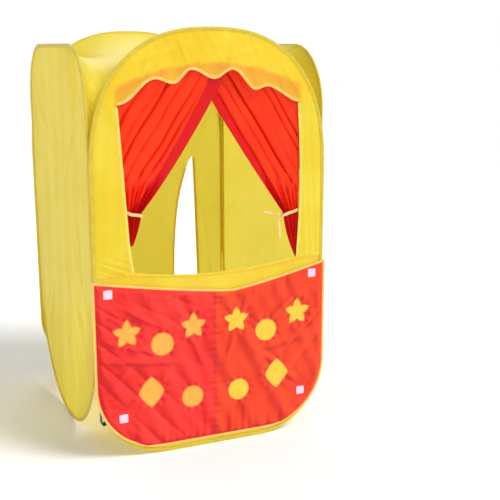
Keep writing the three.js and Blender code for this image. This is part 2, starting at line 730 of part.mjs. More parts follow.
// The storage strap: flat elastic sewn at its two top ends and hanging in a loop inside the corner
function storageStrap() {
  const x = -loopHalf + strapInset;
  const bend = steps(bendSteps, (s) => {
    const turn = Math.PI * (1 + s);
    return [x + strapSpan / 2 * Math.cos(turn), strapFoot + strapSpan / 2 * (1 + Math.sin(turn))];
  });
  const path = [[x - strapSpan / 2, strapTop], ...bend, [x + strapSpan / 2, strapTop]];
  const low = shoulderHalf + fitGap;
  const section = [
    [strapThickness / 2, low], [strapThickness / 2, low + strapWidth],
    [-strapThickness / 2, low + strapWidth], [-strapThickness / 2, low],
  ];
  return sweep('storage_strap', blackWebbing, path, false, section, onFront);
}

function body(...meshes) {
  return new THREE.Group().add(...meshes);
}

const back = clothBack();
const hookLow = -clothHalf - patchThickness;
const signBackFace = signY - frontY + signThickness / 2;
const signFrontFace = signY - frontY - signThickness / 2;

const stand = new THREE.Group();
stand.add(
  body(
    ...hoop('front', archPath, onFront, crownReach),
    ...clothFront(),
    ...patches('hook_patch', hookLow, -clothHalf),
    uprightSeam('front_left_seam', -loopHalf, frontY + hingeOffset, -1),
    uprightSeam('front_right_seam', loopHalf, frontY + hingeOffset, -1),
    clothSheet('curtain_left', curtainCloth, curtainGrid(leftCurtain), curtainThickness),
    clothSheet('curtain_right', curtainCloth, curtainGrid(rightCurtain), curtainThickness),
    tieRing('tie_left', leftCurtain),
    tieRing('tie_right', rightCurtain),
    ...knotAndTails(rightCurtain),
    roof(),
    storageStrap(),
  ),
  body(
    ...hoop('left', sidePath, onLeft, sideTop),
    plate('left_panel', yellowCloth, sideClothEdge, -clothHalf, clothHalf, onLeft),
  ),
  body(
    ...hoop('right', sidePath, onRight, sideTop),
    plate('right_panel', yellowCloth, sideClothEdge, -clothHalf, clothHalf, onRight),
  ),
  body(
    ...hoop('back', archPath, onBack, crownReach),
    ...back.wall,
    uprightSeam('back_left_seam', -loopHalf, backY - hingeOffset, 1),
    uprightSeam('back_right_seam', loopHalf, backY - hingeOffset, 1),
  ),
  body(...back.flap),
  body(
    ...sign(),
    ...patches('sign_face_patch', signFrontFace - fitGap - patchThickness, signFrontFace - fitGap),
    ...patches('sign_back_patch', signBackFace + fitGap, hookLow - fitGap),
  ),
);

// The booth stands with the middle of its whole footprint over the origin
const extent = new THREE.Box3().setFromObject(stand);
stand.position.y = -(extent.min.y + extent.max.y) / 2;
const model = new THREE.Group().add(stand);

export default model;
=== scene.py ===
# %% [markdown]
# A pop-up puppet booth, dressed for its portrait.
# The real thing is four loops of flat spring wire in tape sleeves, with thin glossy polyester sewn between
# them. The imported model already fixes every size, so this notebook only adds what the eye looks for: cloth that
# puckers at its seams, pleats in the curtains, stitches, and light that glows through thin yellow cloth.
# Everything is in metres. X runs across the stage, Y from the audience to the back, and Z is up.

# %% The frame that everything is fitted to
import math

import bmesh
import bpy
import numpy as np
from mathutils import Matrix, Vector


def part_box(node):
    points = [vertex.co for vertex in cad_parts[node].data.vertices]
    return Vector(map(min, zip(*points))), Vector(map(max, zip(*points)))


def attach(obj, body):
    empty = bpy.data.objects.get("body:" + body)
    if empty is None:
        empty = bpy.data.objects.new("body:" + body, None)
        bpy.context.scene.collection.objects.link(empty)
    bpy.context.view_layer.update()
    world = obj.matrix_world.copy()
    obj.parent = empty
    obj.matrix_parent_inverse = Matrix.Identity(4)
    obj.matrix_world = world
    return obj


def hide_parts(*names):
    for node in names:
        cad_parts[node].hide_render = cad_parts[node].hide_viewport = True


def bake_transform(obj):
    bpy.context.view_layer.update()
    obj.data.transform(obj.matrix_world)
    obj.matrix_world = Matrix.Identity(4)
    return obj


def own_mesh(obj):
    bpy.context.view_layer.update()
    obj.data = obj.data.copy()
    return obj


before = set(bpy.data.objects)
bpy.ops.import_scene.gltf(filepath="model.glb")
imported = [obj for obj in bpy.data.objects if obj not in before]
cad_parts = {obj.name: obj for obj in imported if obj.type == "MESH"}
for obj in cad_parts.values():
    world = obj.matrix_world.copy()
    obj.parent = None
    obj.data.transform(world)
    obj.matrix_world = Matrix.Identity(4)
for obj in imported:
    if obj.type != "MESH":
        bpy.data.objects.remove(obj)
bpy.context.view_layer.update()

# %% [markdown]
# The hoops set the whole shape, so their middle lines are worked out first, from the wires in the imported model.
# The front and back hoops have a flat foot, round corners, straight posts and an arch that is a little squarer
# than a half circle. A superellipse with a power near two and a half draws that arch with one number.

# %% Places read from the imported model
WIRE_HALF = 0.001
front_low, front_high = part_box("front_wire")
back_low, back_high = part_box("back_wire")
side_low, side_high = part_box("left_wire")
LOOP_HALF = front_high.x - WIRE_HALF
FOOT = front_low.z + WIRE_HALF
TOP = front_high.z - WIRE_HALF
SIDE_TOP = side_high.z - WIRE_HALF
FRONT_Y = (front_low.y + front_high.y) / 2
BACK_Y = (back_low.y + back_high.y) / 2
SIDE_Y = (side_low.y + side_high.y) / 2
SIDE_HALF = (side_high.y - side_low.y) / 2 - WIRE_HALF
SPRING = 0.796
ARCH_POWER = 2 / 2.45
FRONT_CORNER = 0.206
SIDE_TOP_CORNER = 0.179
SIDE_FOOT_CORNER = 0.373
CLOTH_INSET = 0.002


def round_power(turn, power):
    """The cosine and sine of a turn, squared off by a power below one."""
    c, s = np.cos(turn), np.sin(turn)
    return np.sign(c) * np.abs(c) ** power, np.sign(s) * np.abs(s) ** power


def quarter(radius, x, z, start, count=40):
    turn = np.linspace(start, start + math.pi / 2, count)
    return np.stack([x + radius * np.cos(turn), z + radius * np.sin(turn)], -1)


def arch_loop():
    """The front or back hoop's middle line, anticlockwise from the middle of its right foot corner."""
    right = quarter(FRONT_CORNER, LOOP_HALF - FRONT_CORNER, FOOT + FRONT_CORNER, -math.pi / 2)
    across, up = round_power(np.linspace(0, math.pi, 240), ARCH_POWER)
    arch = np.stack([LOOP_HALF * across, SPRING + (TOP - SPRING) * np.abs(up)], -1)
    return np.concatenate([right, arch, (right * [-1, 1])[::-1]])


def side_loop():
    """A side hoop's middle line, measured from the middle of the wall."""
    foot, top = SIDE_HALF - SIDE_FOOT_CORNER, SIDE_HALF - SIDE_TOP_CORNER
    low, high = FOOT + SIDE_FOOT_CORNER, SIDE_TOP - SIDE_TOP_CORNER
    return np.concatenate([
        quarter(SIDE_FOOT_CORNER, foot, low, -math.pi / 2), quarter(SIDE_TOP_CORNER, top, high, 0),
        quarter(SIDE_TOP_CORNER, -top, high, math.pi / 2), quarter(SIDE_FOOT_CORNER, -foot, low, math.pi),
    ])


ARCH_LOOP, SIDE_LOOP = arch_loop(), side_loop()
HOOPS = [("front", ARCH_LOOP, "front"), ("back", ARCH_LOOP, "back_wall"),
         ("left", SIDE_LOOP, "left_wall"), ("right", SIDE_LOOP, "right_wall")]
SIDES = ((-1, "left"), (1, "right"))
print(f"hoops: {2 * LOOP_HALF:.3f} m wide, {TOP:.3f} m high, {BACK_Y - FRONT_Y:.3f} m apart")

# %% [markdown]
# The camera comes early, because every later choice is judged through it. Its place was found by matching the
# booth's corners with the photograph, which was taken from the audience's left, a little above the window.

# %% The camera
CAMERA_AT = (-0.9113, -2.7334, 1.1470)
CAMERA_AIM = (0.3914, 0.8939, -0.2185)
LENS_MM, SENSOR_MM, FAR_CLIP = 65.38, 36, 100


def added(name, data):
    piece = bpy.data.objects.new(name, data)
    bpy.context.scene.collection.objects.link(piece)
    return piece


def aimed(direction):
    return Vector(direction).to_track_quat("-Z", "Y").to_euler()


camera = added("camera", bpy.data.cameras.new("camera"))
camera.data.sensor_width = SENSOR_MM
camera.data.lens = LENS_MM
camera.data.clip_end = FAR_CLIP
camera.location = CAMERA_AT
camera.rotation_euler = aimed(CAMERA_AIM)
bpy.context.scene.camera = camera
print("camera:", round(camera.data.lens, 1), "mm lens")

# %% [markdown]
# A studio for glossy cloth wants large soft lights. A wide soft sun high on the right makes the shadow that falls
# to the left, and lights the floor evenly as far as the eye goes. A panel from the left keeps the near wall bright,
# and one behind makes the cloth glow. The sky is white at the horizon and dimmer overhead, so folds keep their shade.

# %% Floor and light
PANEL_AIM = Vector((0, 0, 0.7))
SUN_AIM = (-2.3, 2.3, -3.9)
FLOOR_RADIUS = 30


def linear(code):
    """A linear colour with full alpha from a hex code."""
    parts = [int(code[i:i + 2], 16) / 255 for i in (1, 3, 5)]
    return tuple(c / 12.92 if c <= 0.04045 else ((c + 0.055) / 1.055) ** 2.4 for c in parts) + (1,)


def step(tree, kind, inputs=None, **settings):
    """Adds a node, sets its options, and links or fills its inputs by name or number."""
    node = tree.nodes.new(kind)
    for key, value in settings.items():
        setattr(node, key, value)
    for key, value in (inputs or {}).items():
        if hasattr(value, "is_linked"):
            tree.links.new(value, node.inputs[key])
        else:
            node.inputs[key].default_value = value
    return node


def lamp(name, kind, at, aim, **settings):
    light = bpy.data.lights.new(name, kind)
    for key, value in settings.items():
        setattr(light, key, value)
    piece = added(name, light)
    piece.location = at
    piece.rotation_euler = aimed(aim)


def sky():
    """A sky whose strength falls from the horizon to overhead."""
    world = bpy.data.worlds.new("studio sky")
    world.use_nodes = True
    tree = world.node_tree
    paint = tree.nodes["Background"].inputs
    paint["Color"].default_value = linear("#fdfdff")
    height = step(tree, "ShaderNodeSeparateXYZ", {0: step(tree, "ShaderNodeTexCoord").outputs["Generated"]})
    fade = step(tree, "ShaderNodeMapRange", {"Value": height.outputs["Z"], "From Min": 0.10, "From Max": 0.42,
                                             "To Min": 1.03, "To Max": 0.44})
    tree.links.new(fade.outputs[0], paint["Strength"])
    bpy.context.scene.world = world
    bpy.context.scene.view_settings.view_transform = "Standard"


def pale_floor():
    bpy.ops.mesh.primitive_circle_add(vertices=96, radius=FLOOR_RADIUS, fill_type="NGON")
    floor = bpy.context.object
    floor.name = "floor"
    paint = bpy.data.materials.new("pale floor")
    paint.use_nodes = True
    shader = paint.node_tree.nodes["Principled BSDF"].inputs
    shader["Base Color"].default_value = linear("#fdfdfd")
    shader["Roughness"].default_value = 0.7
    floor.data.materials.append(paint)


sky()
lamp("key", "SUN", (0, 0, 0), SUN_AIM, energy=2.4, angle=0.45)
for name, at, size, watts in (("fill", (-3.6, -2.0, 1.9), 1.2, 22), ("rim", (0.8, 3.0, 2.8), 1.6, 20)):
    lamp(name, "AREA", at, PANEL_AIM - Vector(at), shape="DISK", size=size, energy=watts)
pale_floor()
print("studio: a soft sun, two panels, a pale sky and a floor")

# %% [markdown]
# Thin polyester is two things at once: a satin surface that catches long highlights, and a screen that glows
# with the light behind it. So each cloth mixes a Principled shader with a Translucent one. Bump adds what is too
# small to model: the fine weave, and the crumple that stays in cloth that is stored twisted flat.

# %% A helper for materials
class Paint:
    """A material as a short list of nodes, patterned in the object's own space."""

    def __init__(self, name, **values):
        self.material = bpy.data.materials.new(name)
        self.material.use_nodes = True
        self.tree = self.material.node_tree
        self.shader = self.tree.nodes["Principled BSDF"]
        self.place = self.add("ShaderNodeTexCoord").outputs["Object"]
        for key, value in values.items():
            self.shader.inputs[key.replace("_", " ")].default_value = value

    def add(self, kind, settings=None, **inputs):
        named = {key.replace("_", " "): value for key, value in inputs.items()}
        return step(self.tree, kind, named, **(settings or {}))

    def noise(self, scale, detail, **more):
        return self.add("ShaderNodeTexNoise", Vector=self.place, Scale=scale, Detail=detail, **more).outputs

    def mix(self, share, first, second):
        return step(self.tree, "ShaderNodeMix", {0: share, 6: first, 7: second}, data_type="RGBA").outputs[2]

    def ramp(self, value, low, high):
        return self.add("ShaderNodeMapRange", Value=value, From_Min=low, From_Max=high).outputs[0]

    def drift(self, tone, shade, scale, detail=3.0, low=0.35):
        """A colour that wanders from tone to shade."""
        return self.mix(self.ramp(self.noise(scale, detail)["Fac"], low, 0.7), linear(tone), linear(shade))

    def bump(self, height, strength, distance, **under):
        return self.add("ShaderNodeBump", Height=height, Strength=strength, Distance=distance, **under).outputs[0]

    def done(self, colour, normal, glow=0, behind=None, soft=None):
        """Joins colour and bump to the shader. glow is the share of light that the stuff lets through."""
        self.tree.links.new(colour, self.shader.inputs["Base Color"])
        self.tree.links.new(normal, self.shader.inputs["Normal"])
        if glow:
            lit = self.add("ShaderNodeBsdfTranslucent", Color=behind or colour, Normal=soft or normal)
            both = step(self.tree, "ShaderNodeMixShader", {0: glow, 1: self.shader.outputs[0], 2: lit.outputs[0]})
            self.tree.links.new(both.outputs[0], self.tree.nodes["Material Output"].inputs["Surface"])
        return self.material


# %% [markdown]
# One recipe serves every woven cloth here. Its colour drifts slightly over a hand's width, and it has a second tone
# that a painted mark calls up: the orange of a curtain showing through, the deeper red of a doubled hem, or painted
# shade where folds turn aside or sink into creases.

# %% Woven cloth
THREADS_SCALE = 330.0


def woven(name, tone, shade, through, marked, roughness=0.42, glow=0.4, crumple=0.5, cell=26, gloss=0.28):
    """Glossy woven cloth. marked is the tone where the mesh's own mark is 1, and through that of light behind it."""
    n = Paint(name, Roughness=roughness, Specular_IOR_Level=gloss)
    mark = n.add("ShaderNodeAttribute", {"attribute_name": "mark"}).outputs["Fac"]
    colour = n.mix(mark, n.drift(tone, shade, 5.0), linear(marked))
    bent = step(n.tree, "ShaderNodeVectorMath", {0: n.noise(11.0, 2.0)["Color"], 1: (0.05, 0.05, 0.05), 2: n.place},
                operation="MULTIPLY_ADD")
    cells = n.add("ShaderNodeTexVoronoi", {"feature": "DISTANCE_TO_EDGE"}, Vector=bent.outputs[0], Scale=float(cell))
    facets = n.ramp(cells.outputs["Distance"], 0.0, 0.35)
    crinkle = n.noise(70.0, 5.0, Roughness=0.6)["Fac"]
    weave = n.add("ShaderNodeUVMap", {"uv_map": "cut"}).outputs["UV"]
    warp, weft = (n.add("ShaderNodeTexWave", {"bands_direction": way}, Vector=weave, Scale=THREADS_SCALE)
                  for way in "XY")
    threads = step(n.tree, "ShaderNodeMath", {0: warp.outputs["Fac"], 1: weft.outputs["Fac"]}, operation="MAXIMUM")
    crease_shade = n.bump(facets, 0.22 * crumple, 0.004)
    crumpled = n.bump(crinkle, 0.3 * crumple, 0.002, Normal=crease_shade)
    fine = n.bump(threads.outputs[0], 0.12, 0.0003, Normal=crumpled)
    return n.done(colour, fine, glow, n.mix(0.5, colour, linear(through)), crumpled)


# The wall cloth's marked tone is only painted shade, laid where the folds turn aside. The sign's marked tones serve
# its doubled hems and also painted shade. The curtain's serves its doubled hem and also painted shade in its creases
# and gathers.
WALL_CLOTH = woven("wall cloth", "#f6ea60", "#efe04c", "#f8ec66", "#dcc028", glow=0.40, cell=9, crumple=0.45)
FRONT_CLOTH = woven("front cloth", "#f4e34e", "#edd434", "#f8e658", "#f79c36", glow=0.38, cell=12, crumple=0.6)
ARCH_CLOTH = woven("arch cloth", "#f7e044", "#eec81e", "#fbe24a", "#f29438", glow=0.30, cell=12, crumple=0.7)
CURTAIN_CLOTH = woven("curtain cloth", "#fc3c14", "#f42c08", "#ff3c14", "#cc0016", glow=0.14, cell=20, crumple=0.4,
                      roughness=0.36, gloss=0.2)
SIGN_FINISH = {"glow": 0.06, "cell": 14, "crumple": 0.8, "roughness": 0.33, "gloss": 0.35}
SIGN_RED = woven("sign red", "#fb3a30", "#f42a22", "#f52a1c", "#cc0008", **SIGN_FINISH)
SIGN_ORANGE = woven("sign orange", "#f94a1c", "#f03c12", "#f7502a", "#c81a06", **SIGN_FINISH)
print("cloths: wall, front, arch, curtain and two for the sign")


# %% [markdown]
# Tape, ribbon, felt and pile are duller than the cloth. Ribbed tape shows fine lines across it, felt is a mat of
# fibres, and hook-and-loop pile is a field of tiny bumps, which a small Voronoi pattern gives.

# %% Tape, felt, pile and steel
def ribbed(name, tone, shade, roughness=0.6, glow=0.15, pitch=500.0):
    n = Paint(name, Roughness=roughness, Sheen_Weight=0.35)
    return n.done(n.drift(tone, shade, 40.0), n.bump(n.noise(pitch, 2.0)["Fac"], 0.35, 0.0006), glow)


def pile(name, tone, shade, cell=700.0, depth=0.0008):
    n = Paint(name, Roughness=0.85, Sheen_Weight=0.5)
    tufts = n.add("ShaderNodeTexVoronoi", Vector=n.place, Scale=cell).outputs["Distance"]
    return n.done(n.drift(tone, shade, 120.0, 4.0, 0.3), n.bump(tufts, 0.5, depth))


def brushed(name, tone):
    n = Paint(name, Base_Color=linear(tone), Metallic=1.0, Roughness=0.35)
    n.tree.links.new(n.bump(n.noise(300.0, 3.0)["Fac"], 0.2, 0.0003), n.shader.inputs["Normal"])
    return n.material


SLEEVE_TAPE = ribbed("sleeve tape", "#f4e24a", "#ecd83a", roughness=0.5, glow=0.45)
PALE_TAPE = ribbed("pale tape", "#ffd673", "#ffc95a")
WINDOW_TAPE = ribbed("window tape", "#fbe96a", "#f2dc4c")
SILL_TAPE = ribbed("sill tape", "#f5d223", "#ecc716")
DOOR_HEM = ribbed("door hem", "#eddc3e", "#e4d02e", pitch=300.0)
RIBBON = ribbed("tie ribbon", "#ffe6a2", "#ffdc8c", roughness=0.55, glow=0.3)
WEBBING = ribbed("elastic webbing", "#161616", "#0d0d0d", glow=0, pitch=900.0)
YELLOW_THREAD = ribbed("yellow thread", "#e6cc10", "#dcc00a", glow=0)
PALE_THREAD = ribbed("pale thread", "#f0a93c", "#e89c30", glow=0)
RED_THREAD = ribbed("red thread", "#b80a10", "#a8060c", glow=0)
PATCH_THREAD = ribbed("patch thread", "#f7e6ee", "#eed6e2", glow=0)
PATCH_PILE = pile("patch pile", "#f3d3e2", "#e6c0d4")
FELT_CELL, FELT_DEPTH = 420.0, 0.0005
FELT_ORANGE = pile("orange felt", "#ffae3e", "#ff9f30", FELT_CELL, FELT_DEPTH)
FELT_YELLOW = pile("yellow felt", "#eac62c", "#dfb91e", FELT_CELL, FELT_DEPTH)
FELT_RIM = pile("felt rim", "#f0641c", "#e45512", FELT_CELL, FELT_DEPTH)
STEEL = brushed("spring steel", "#8d9094")
print("trims: tapes, ribbon, webbing, threads, pile, felt and steel")

# %% [markdown]
# Sewn cloth is a flat cut that its seams pull at. Each cut is laid out here as rows of points between a left and a
# right edge, close enough together to carry a pucker, and its folds are added as plain sums: a ripple that
# dies away from a seam, and a few long ridges along the lines of pull. A cloth simulation would find folds like
# these too, but it would also move the seams, which have to stay where the hoops are.

# %% Cutting and folding cloth
def eased(share):
    share = np.clip(share, 0, 1)
    return share * share * (3 - 2 * share)


def between(first, last, share):
    return first + (last - first) * share


def points(x, y, z=0.0):
    return np.stack(np.broadcast_arrays(x, y, z), -1)


def unit(vectors):
    return vectors / np.linalg.norm(vectors, axis=-1, keepdims=True)


def ripple(along, pitch, seed, waves=7):
    """An uneven ripple between about -1 and 1, whose waves are near the pitch."""
    dice = np.random.default_rng(seed)
    total = 0 * along
    for _ in range(waves):
        length = pitch * dice.uniform(0.6, 1.8)
        total = total + dice.uniform(0.5, 1) * np.sin(2 * np.pi * (along / length + dice.random()))
    return total / (0.55 * waves)


def pucker(height, along, pitch, seed, gap, reach):
    """A ripple of a height along a seam, which dies away with the gap to that seam."""
    return height * ripple(along, pitch, seed) * np.exp(-gap / reach)


def ridge(x, z, start, end, width, height):
    """How far a long soft fold from start to end lifts the cloth at each place."""
    run = np.subtract(end, start)
    length = np.hypot(*run)
    share = ((x - start[0]) * run[0] + (z - start[1]) * run[1]) / length ** 2
    aside = ((x - start[0]) * run[1] - (z - start[1]) * run[0]) / length
    return height * np.exp(-(aside / width) ** 2) * eased(np.minimum(share, 1 - share) / 0.3 + 0.15)


def folds(x, z, table):
    """The sum of a table of ridges, in millimetres: where each starts and ends, its width and its height."""
    return sum(ridge(x, z, row[:2], row[2:4], row[4], row[5]) for row in np.array(table) / 1000)


def pull_lines(x, z, edge, seed, count=18):
    """Soft creases that run in from a cloth's sewn edge, each with its own reach, width and height."""
    dice = np.random.default_rng(seed)
    lift = 0 * (x + z)
    middle = edge.mean(0)
    for _ in range(count):
        start = edge[dice.integers(len(edge))]
        aim = middle + dice.uniform(-0.16, 0.16, 2) * (1, 1.6)
        end = start + (aim - start) * dice.uniform(0.35, 0.95)
        crease = ridge(x, z, start, end, dice.uniform(0.006, 0.018), dice.uniform(0.0014, 0.0038))
        lift += crease if dice.random() < 0.6 else -crease
    return lift


def evenly(line, count):
    """Points spaced evenly along a line, and how far along it each one is."""
    run = np.concatenate([[0], np.cumsum(np.linalg.norm(np.diff(line, axis=0), axis=1))])
    even = np.linspace(0, run[-1], count)
    return np.stack([np.interp(even, run, row) for row in line.T], -1), even


def length_of(line):
    """The length of a line."""
    return float(np.linalg.norm(np.diff(line, axis=0), axis=1).sum())


def inset(loop, reach):
    """A closed anticlockwise loop drawn in by a distance."""
    tangent = np.roll(loop, -1, 0) - np.roll(loop, 1, 0)
    tangent /= np.hypot(*tangent.T)[:, None]
    return loop - reach * np.stack([tangent[:, 1], -tangent[:, 0]], -1)


def half_width(loop, z):
    """The half width of a loop at a height."""
    right = loop[loop[:, 0] >= 0]
    right = right[np.argsort(right[:, 1])]
    return np.interp(z, right[:, 1], right[:, 0])


def from_edge(x, z, loop, batch=4000):
    """How far each place is from a loop, and how far round the loop the nearest point is."""
    edge, fine = evenly(loop, 900)
    flat = np.stack([x.ravel(), z.ravel()], -1)
    away, around = np.empty(len(flat)), np.empty(len(flat))
    for first in range(0, len(flat), batch):
        gap = np.hypot(*(flat[first:first + batch, None] - edge[None]).transpose(2, 0, 1))
        away[first:first + batch] = gap.min(1)
        around[first:first + batch] = fine[gap.argmin(1)]
    return away.reshape(x.shape), around.reshape(x.shape)


def crowded(low, high, count, crowd=0.6):
    """Places from low to high that crowd towards both ends."""
    share = np.linspace(0, 1, count)
    return between(low, high, between(share, (1 - np.cos(np.pi * share)) / 2, crowd))


def rows(heights, left, right, count, crowd=0.0):
    """Rows of places between a left and a right edge."""
    x = between(left[:, None], right[:, None], crowded(0, 1, count, crowd))
    return x, np.repeat(heights[:, None], count, 1)


def columns(across, low, high, share):
    """Columns of places between a low and a high edge."""
    z = between(low, high, share[:, None])
    return np.broadcast_to(across, z.shape), z


def painted_slope_shade(lift, across, base=0.14, gain=0.55):
    """Painted shade: the mark rises or falls with the lift's slope along one way, so folds look lit from one side."""
    return np.clip(base + gain * np.gradient(lift, axis=1) / np.gradient(across, axis=1), 0, 1)


def cloth_piece(name, grids, material, facing, marks=None):
    """One cloth from grids of points that may share edges. Its cut is kept in metres as a UV map."""
    verts, faces, cuts, tints = [], [], [], []
    for number, grid in enumerate(grids):
        height, width = grid.shape[:2]
        first = len(verts)
        verts.extend(map(tuple, grid.reshape(-1, 3)))
        across = np.linalg.norm(np.diff(grid, axis=1), axis=2).mean(0)
        down = np.linalg.norm(np.diff(grid, axis=0), axis=2).mean(1)
        cuts.extend((a, b) for b in (0, *np.cumsum(down)) for a in (0, *np.cumsum(across)))
        tints.extend(np.zeros(height * width) if marks is None else marks[number].ravel())
        for at in range(first, first + (height - 1) * width, width):
            faces.extend((at + c, at + c + 1, at + c + width + 1, at + c + width) for c in range(width - 1))
    mesh = bpy.data.meshes.new(name)
    mesh.from_pydata(verts, [], faces)
    corners = np.empty(len(mesh.loops), int)
    mesh.loops.foreach_get("vertex_index", corners)
    mesh.uv_layers.new(name="cut").data.foreach_set("uv", np.array(cuts, np.float32)[corners].ravel())
    mesh.attributes.new("mark", "FLOAT", "POINT").data.foreach_set("value", np.array(tints, np.float32))
    sewn = bmesh.new()
    sewn.from_mesh(mesh)
    bmesh.ops.remove_doubles(sewn, verts=sewn.verts, dist=1e-5)
    sewn.normal_update()
    total = sum((f.normal * f.calc_area() for f in sewn.faces), Vector())
    if total.dot(Vector(facing)) < 0:
        bmesh.ops.reverse_faces(sewn, faces=sewn.faces)
    for face in sewn.faces:
        face.smooth = True
    sewn.to_mesh(mesh)
    sewn.free()
    mesh.materials.append(material)
    return added(name, mesh)


def cloth(name, x, y, z, material, facing, mark=None):
    """One cloth from one grid of places."""
    return cloth_piece(name, [points(x, y, z)], material, facing, None if mark is None else [mark])


def dress(piece, body, slot, *nodes):
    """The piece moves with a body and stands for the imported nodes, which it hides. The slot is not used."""
    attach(piece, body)
    if nodes:
        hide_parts(*nodes)


def flatten(piece):
    """Gives the piece its own copy of its mesh."""
    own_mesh(piece)

# %% [markdown]
# The side walls are the plainest cloth: one cut inside each side hoop. The tape gathers it a little all round,
# most under the top bar, where fine upright gathers hang, and pull lines run in from the rounded corners.

# %% Side walls
SIDE_EDGE = inset(SIDE_LOOP, CLOTH_INSET)
SIDE_FOLDS = [
    (-350, 1060, -20, 720, 14, 5.6), (-310, 1120, 100, 1020, 8.4, 4.2), (350, 1040, 50, 800, 15.4, 5.6),
    (-330, 160, -120, 420, 16.8, 5.04), (310, 130, 140, 440, 16.8, 5.04), (-375, 620, -200, 860, 11.2, 3.08),
    (375, 550, 180, 640, 12.6, 3.08), (-300, 980, -260, 300, 21, 4.2),
]


def side_wall(name, side, seed):
    high = SIDE_EDGE[:, 1].max()
    z = crowded(SIDE_EDGE[:, 1].min(), high, 250)
    half = half_width(SIDE_EDGE, z)
    y, z = rows(z, -half, half, 190, crowd=0.4)
    away, around = from_edge(y, z, SIDE_EDGE)
    near_top = 1 - np.clip((high - z) / 0.16, 0, 1)
    near_front = 0.35 + 0.65 * eased((0.06 - y) / 0.2)
    lift = pucker(0.0011, around, 0.019, seed, away, 0.022)
    lift += 0.0036 * ripple(y, 0.022, seed + 1) * near_top ** 1.3 * eased(away / 0.006) * near_front
    loose = 0.0042 * ripple(y + 0.05 * z, 0.160, seed + 2, 4) + pull_lines(y, z, SIDE_EDGE, seed + 3)
    loose -= 0.0050 * np.exp(-((y + 0.340) / 0.014) ** 2 - ((z - 0.955) / 0.010) ** 2)
    lift += (loose + folds(y, z, SIDE_FOLDS)) * eased(away / 0.02)
    billow = 0.006 * (1 - (y / 0.384) ** 2) * np.sin(np.pi * (z - FOOT) / (SIDE_TOP - FOOT))
    x = side * (LOOP_HALF + np.where(lift > 0, 0.6, 1) * lift * 0.8 - billow)
    # The side wall's mark is painted shade: darker or lighter by the slope of its folds.
    return cloth(name, x, y + SIDE_Y, z, WALL_CLOTH, (side, 0, 0), painted_slope_shade(lift, y))


for side, name in SIDES:
    wall = side_wall(f"{name}_wall_cloth", side, 11 + side)
    dress(wall, f"{name}_wall", "yellow_cloth", f"{name}_panel")

# %% [markdown]
# The front cloth is four cuts. The arch has a scalloped lower edge, and the heads of the curtains are sewn behind
# it, so their orange shows through in a soft band with an uneven top. Two narrow strips run beside the
# window, and one wide panel, mostly behind the sign, closes the foot.

# %% The window's edges
ARCH_EDGE = inset(ARCH_LOOP, CLOTH_INSET)
WINDOW_TOP = {-1: 0.267, 1: 0.263}
WINDOW_FOOT = {-1: 0.240, 1: 0.262}
SILL = 0.541
ARCH_SEAM = 0.9919
STRIP_FOOT = 0.5424
SCALLOP_ENDS = [-0.267, -0.170, -0.106, -0.061, 0.008, 0.064, 0.122, 0.184, 0.27]
EVEN_ENDS = [-0.267, -0.1875, -0.125, -0.0625, 0, 0.0625, 0.125, 0.1875, 0.27]


def of_side(x, values):
    return np.where(x < 0, values[-1], values[1])


def scallop(x):
    turns = np.interp(x, SCALLOP_ENDS, EVEN_ENDS) / 0.125
    sag = 0.014 * np.exp(-((x - 0.130) / 0.032) ** 2) + 0.021 * np.exp(-((x - 0.190) / 0.036) ** 2)
    return 1.077 - 0.070 * (x / of_side(x, WINDOW_TOP)) ** 2 - 0.014 * np.cos(2 * np.pi * turns) - sag


def sill(x):
    return SILL - 0.022 * np.maximum(0, 1 - (x / of_side(x, WINDOW_FOOT)) ** 2)


def window_edge(side, z):
    share = (z - STRIP_FOOT) / (ARCH_SEAM - STRIP_FOOT)
    bow = 0.009 * np.sin(np.pi * np.clip(share, 0, 1)) if side > 0 else -0.006 * np.clip(1 - share * 5, 0, 1) ** 2
    return side * (between(WINDOW_FOOT[side], WINDOW_TOP[side], share) + bow)


def curtain_head(x, reach=0.2735):
    return 1.100 - 0.064 * (x / reach) ** 2


print(f"window: from {SILL:.3f} m up to {float(scallop(np.array(0.0))):.3f} m")

# %% [markdown]
# Each cut has its own lift, the height of its folds over the hoop's plane. The tape and the stitches ask for the
# same lift later, so that they lie on the cloth.

# %% The four front cloths
ARCH_FOLDS = [
    (-270, 1010, -120, 1140, 7, 3.9), (-200, 1060, -170, 1150, 6, 3.12), (-60, 1080, -100, 1180, 6, 2.86),
    (50, 1080, 70, 1180, 7, 3.12), (140, 1060, 200, 1130, 6, 3.38), (270, 1010, 210, 1100, 7, 3.9),
    (-20, 1100, 160, 1150, 8, 2.34), (-240, 1100, -50, 1160, 8, 2.34),
]


def arch_lift(x, z):
    away, around = from_edge(x, z, ARCH_EDGE)
    loose = pucker(0.0011, x, 0.021, 32, np.maximum(z - scallop(x), 0), 0.026)
    loose = loose + 0.0008 * ripple(x + 0.5 * z, 0.034, 33)
    lift = 0.0018 + pucker(0.0009, around, 0.020, 31, away, 0.020) + loose * eased(away / 0.02)
    lift += folds(x, z, ARCH_FOLDS) * eased(away / 0.012)
    return np.clip(lift, -0.0004, 0.0075) * eased(away / 0.006)


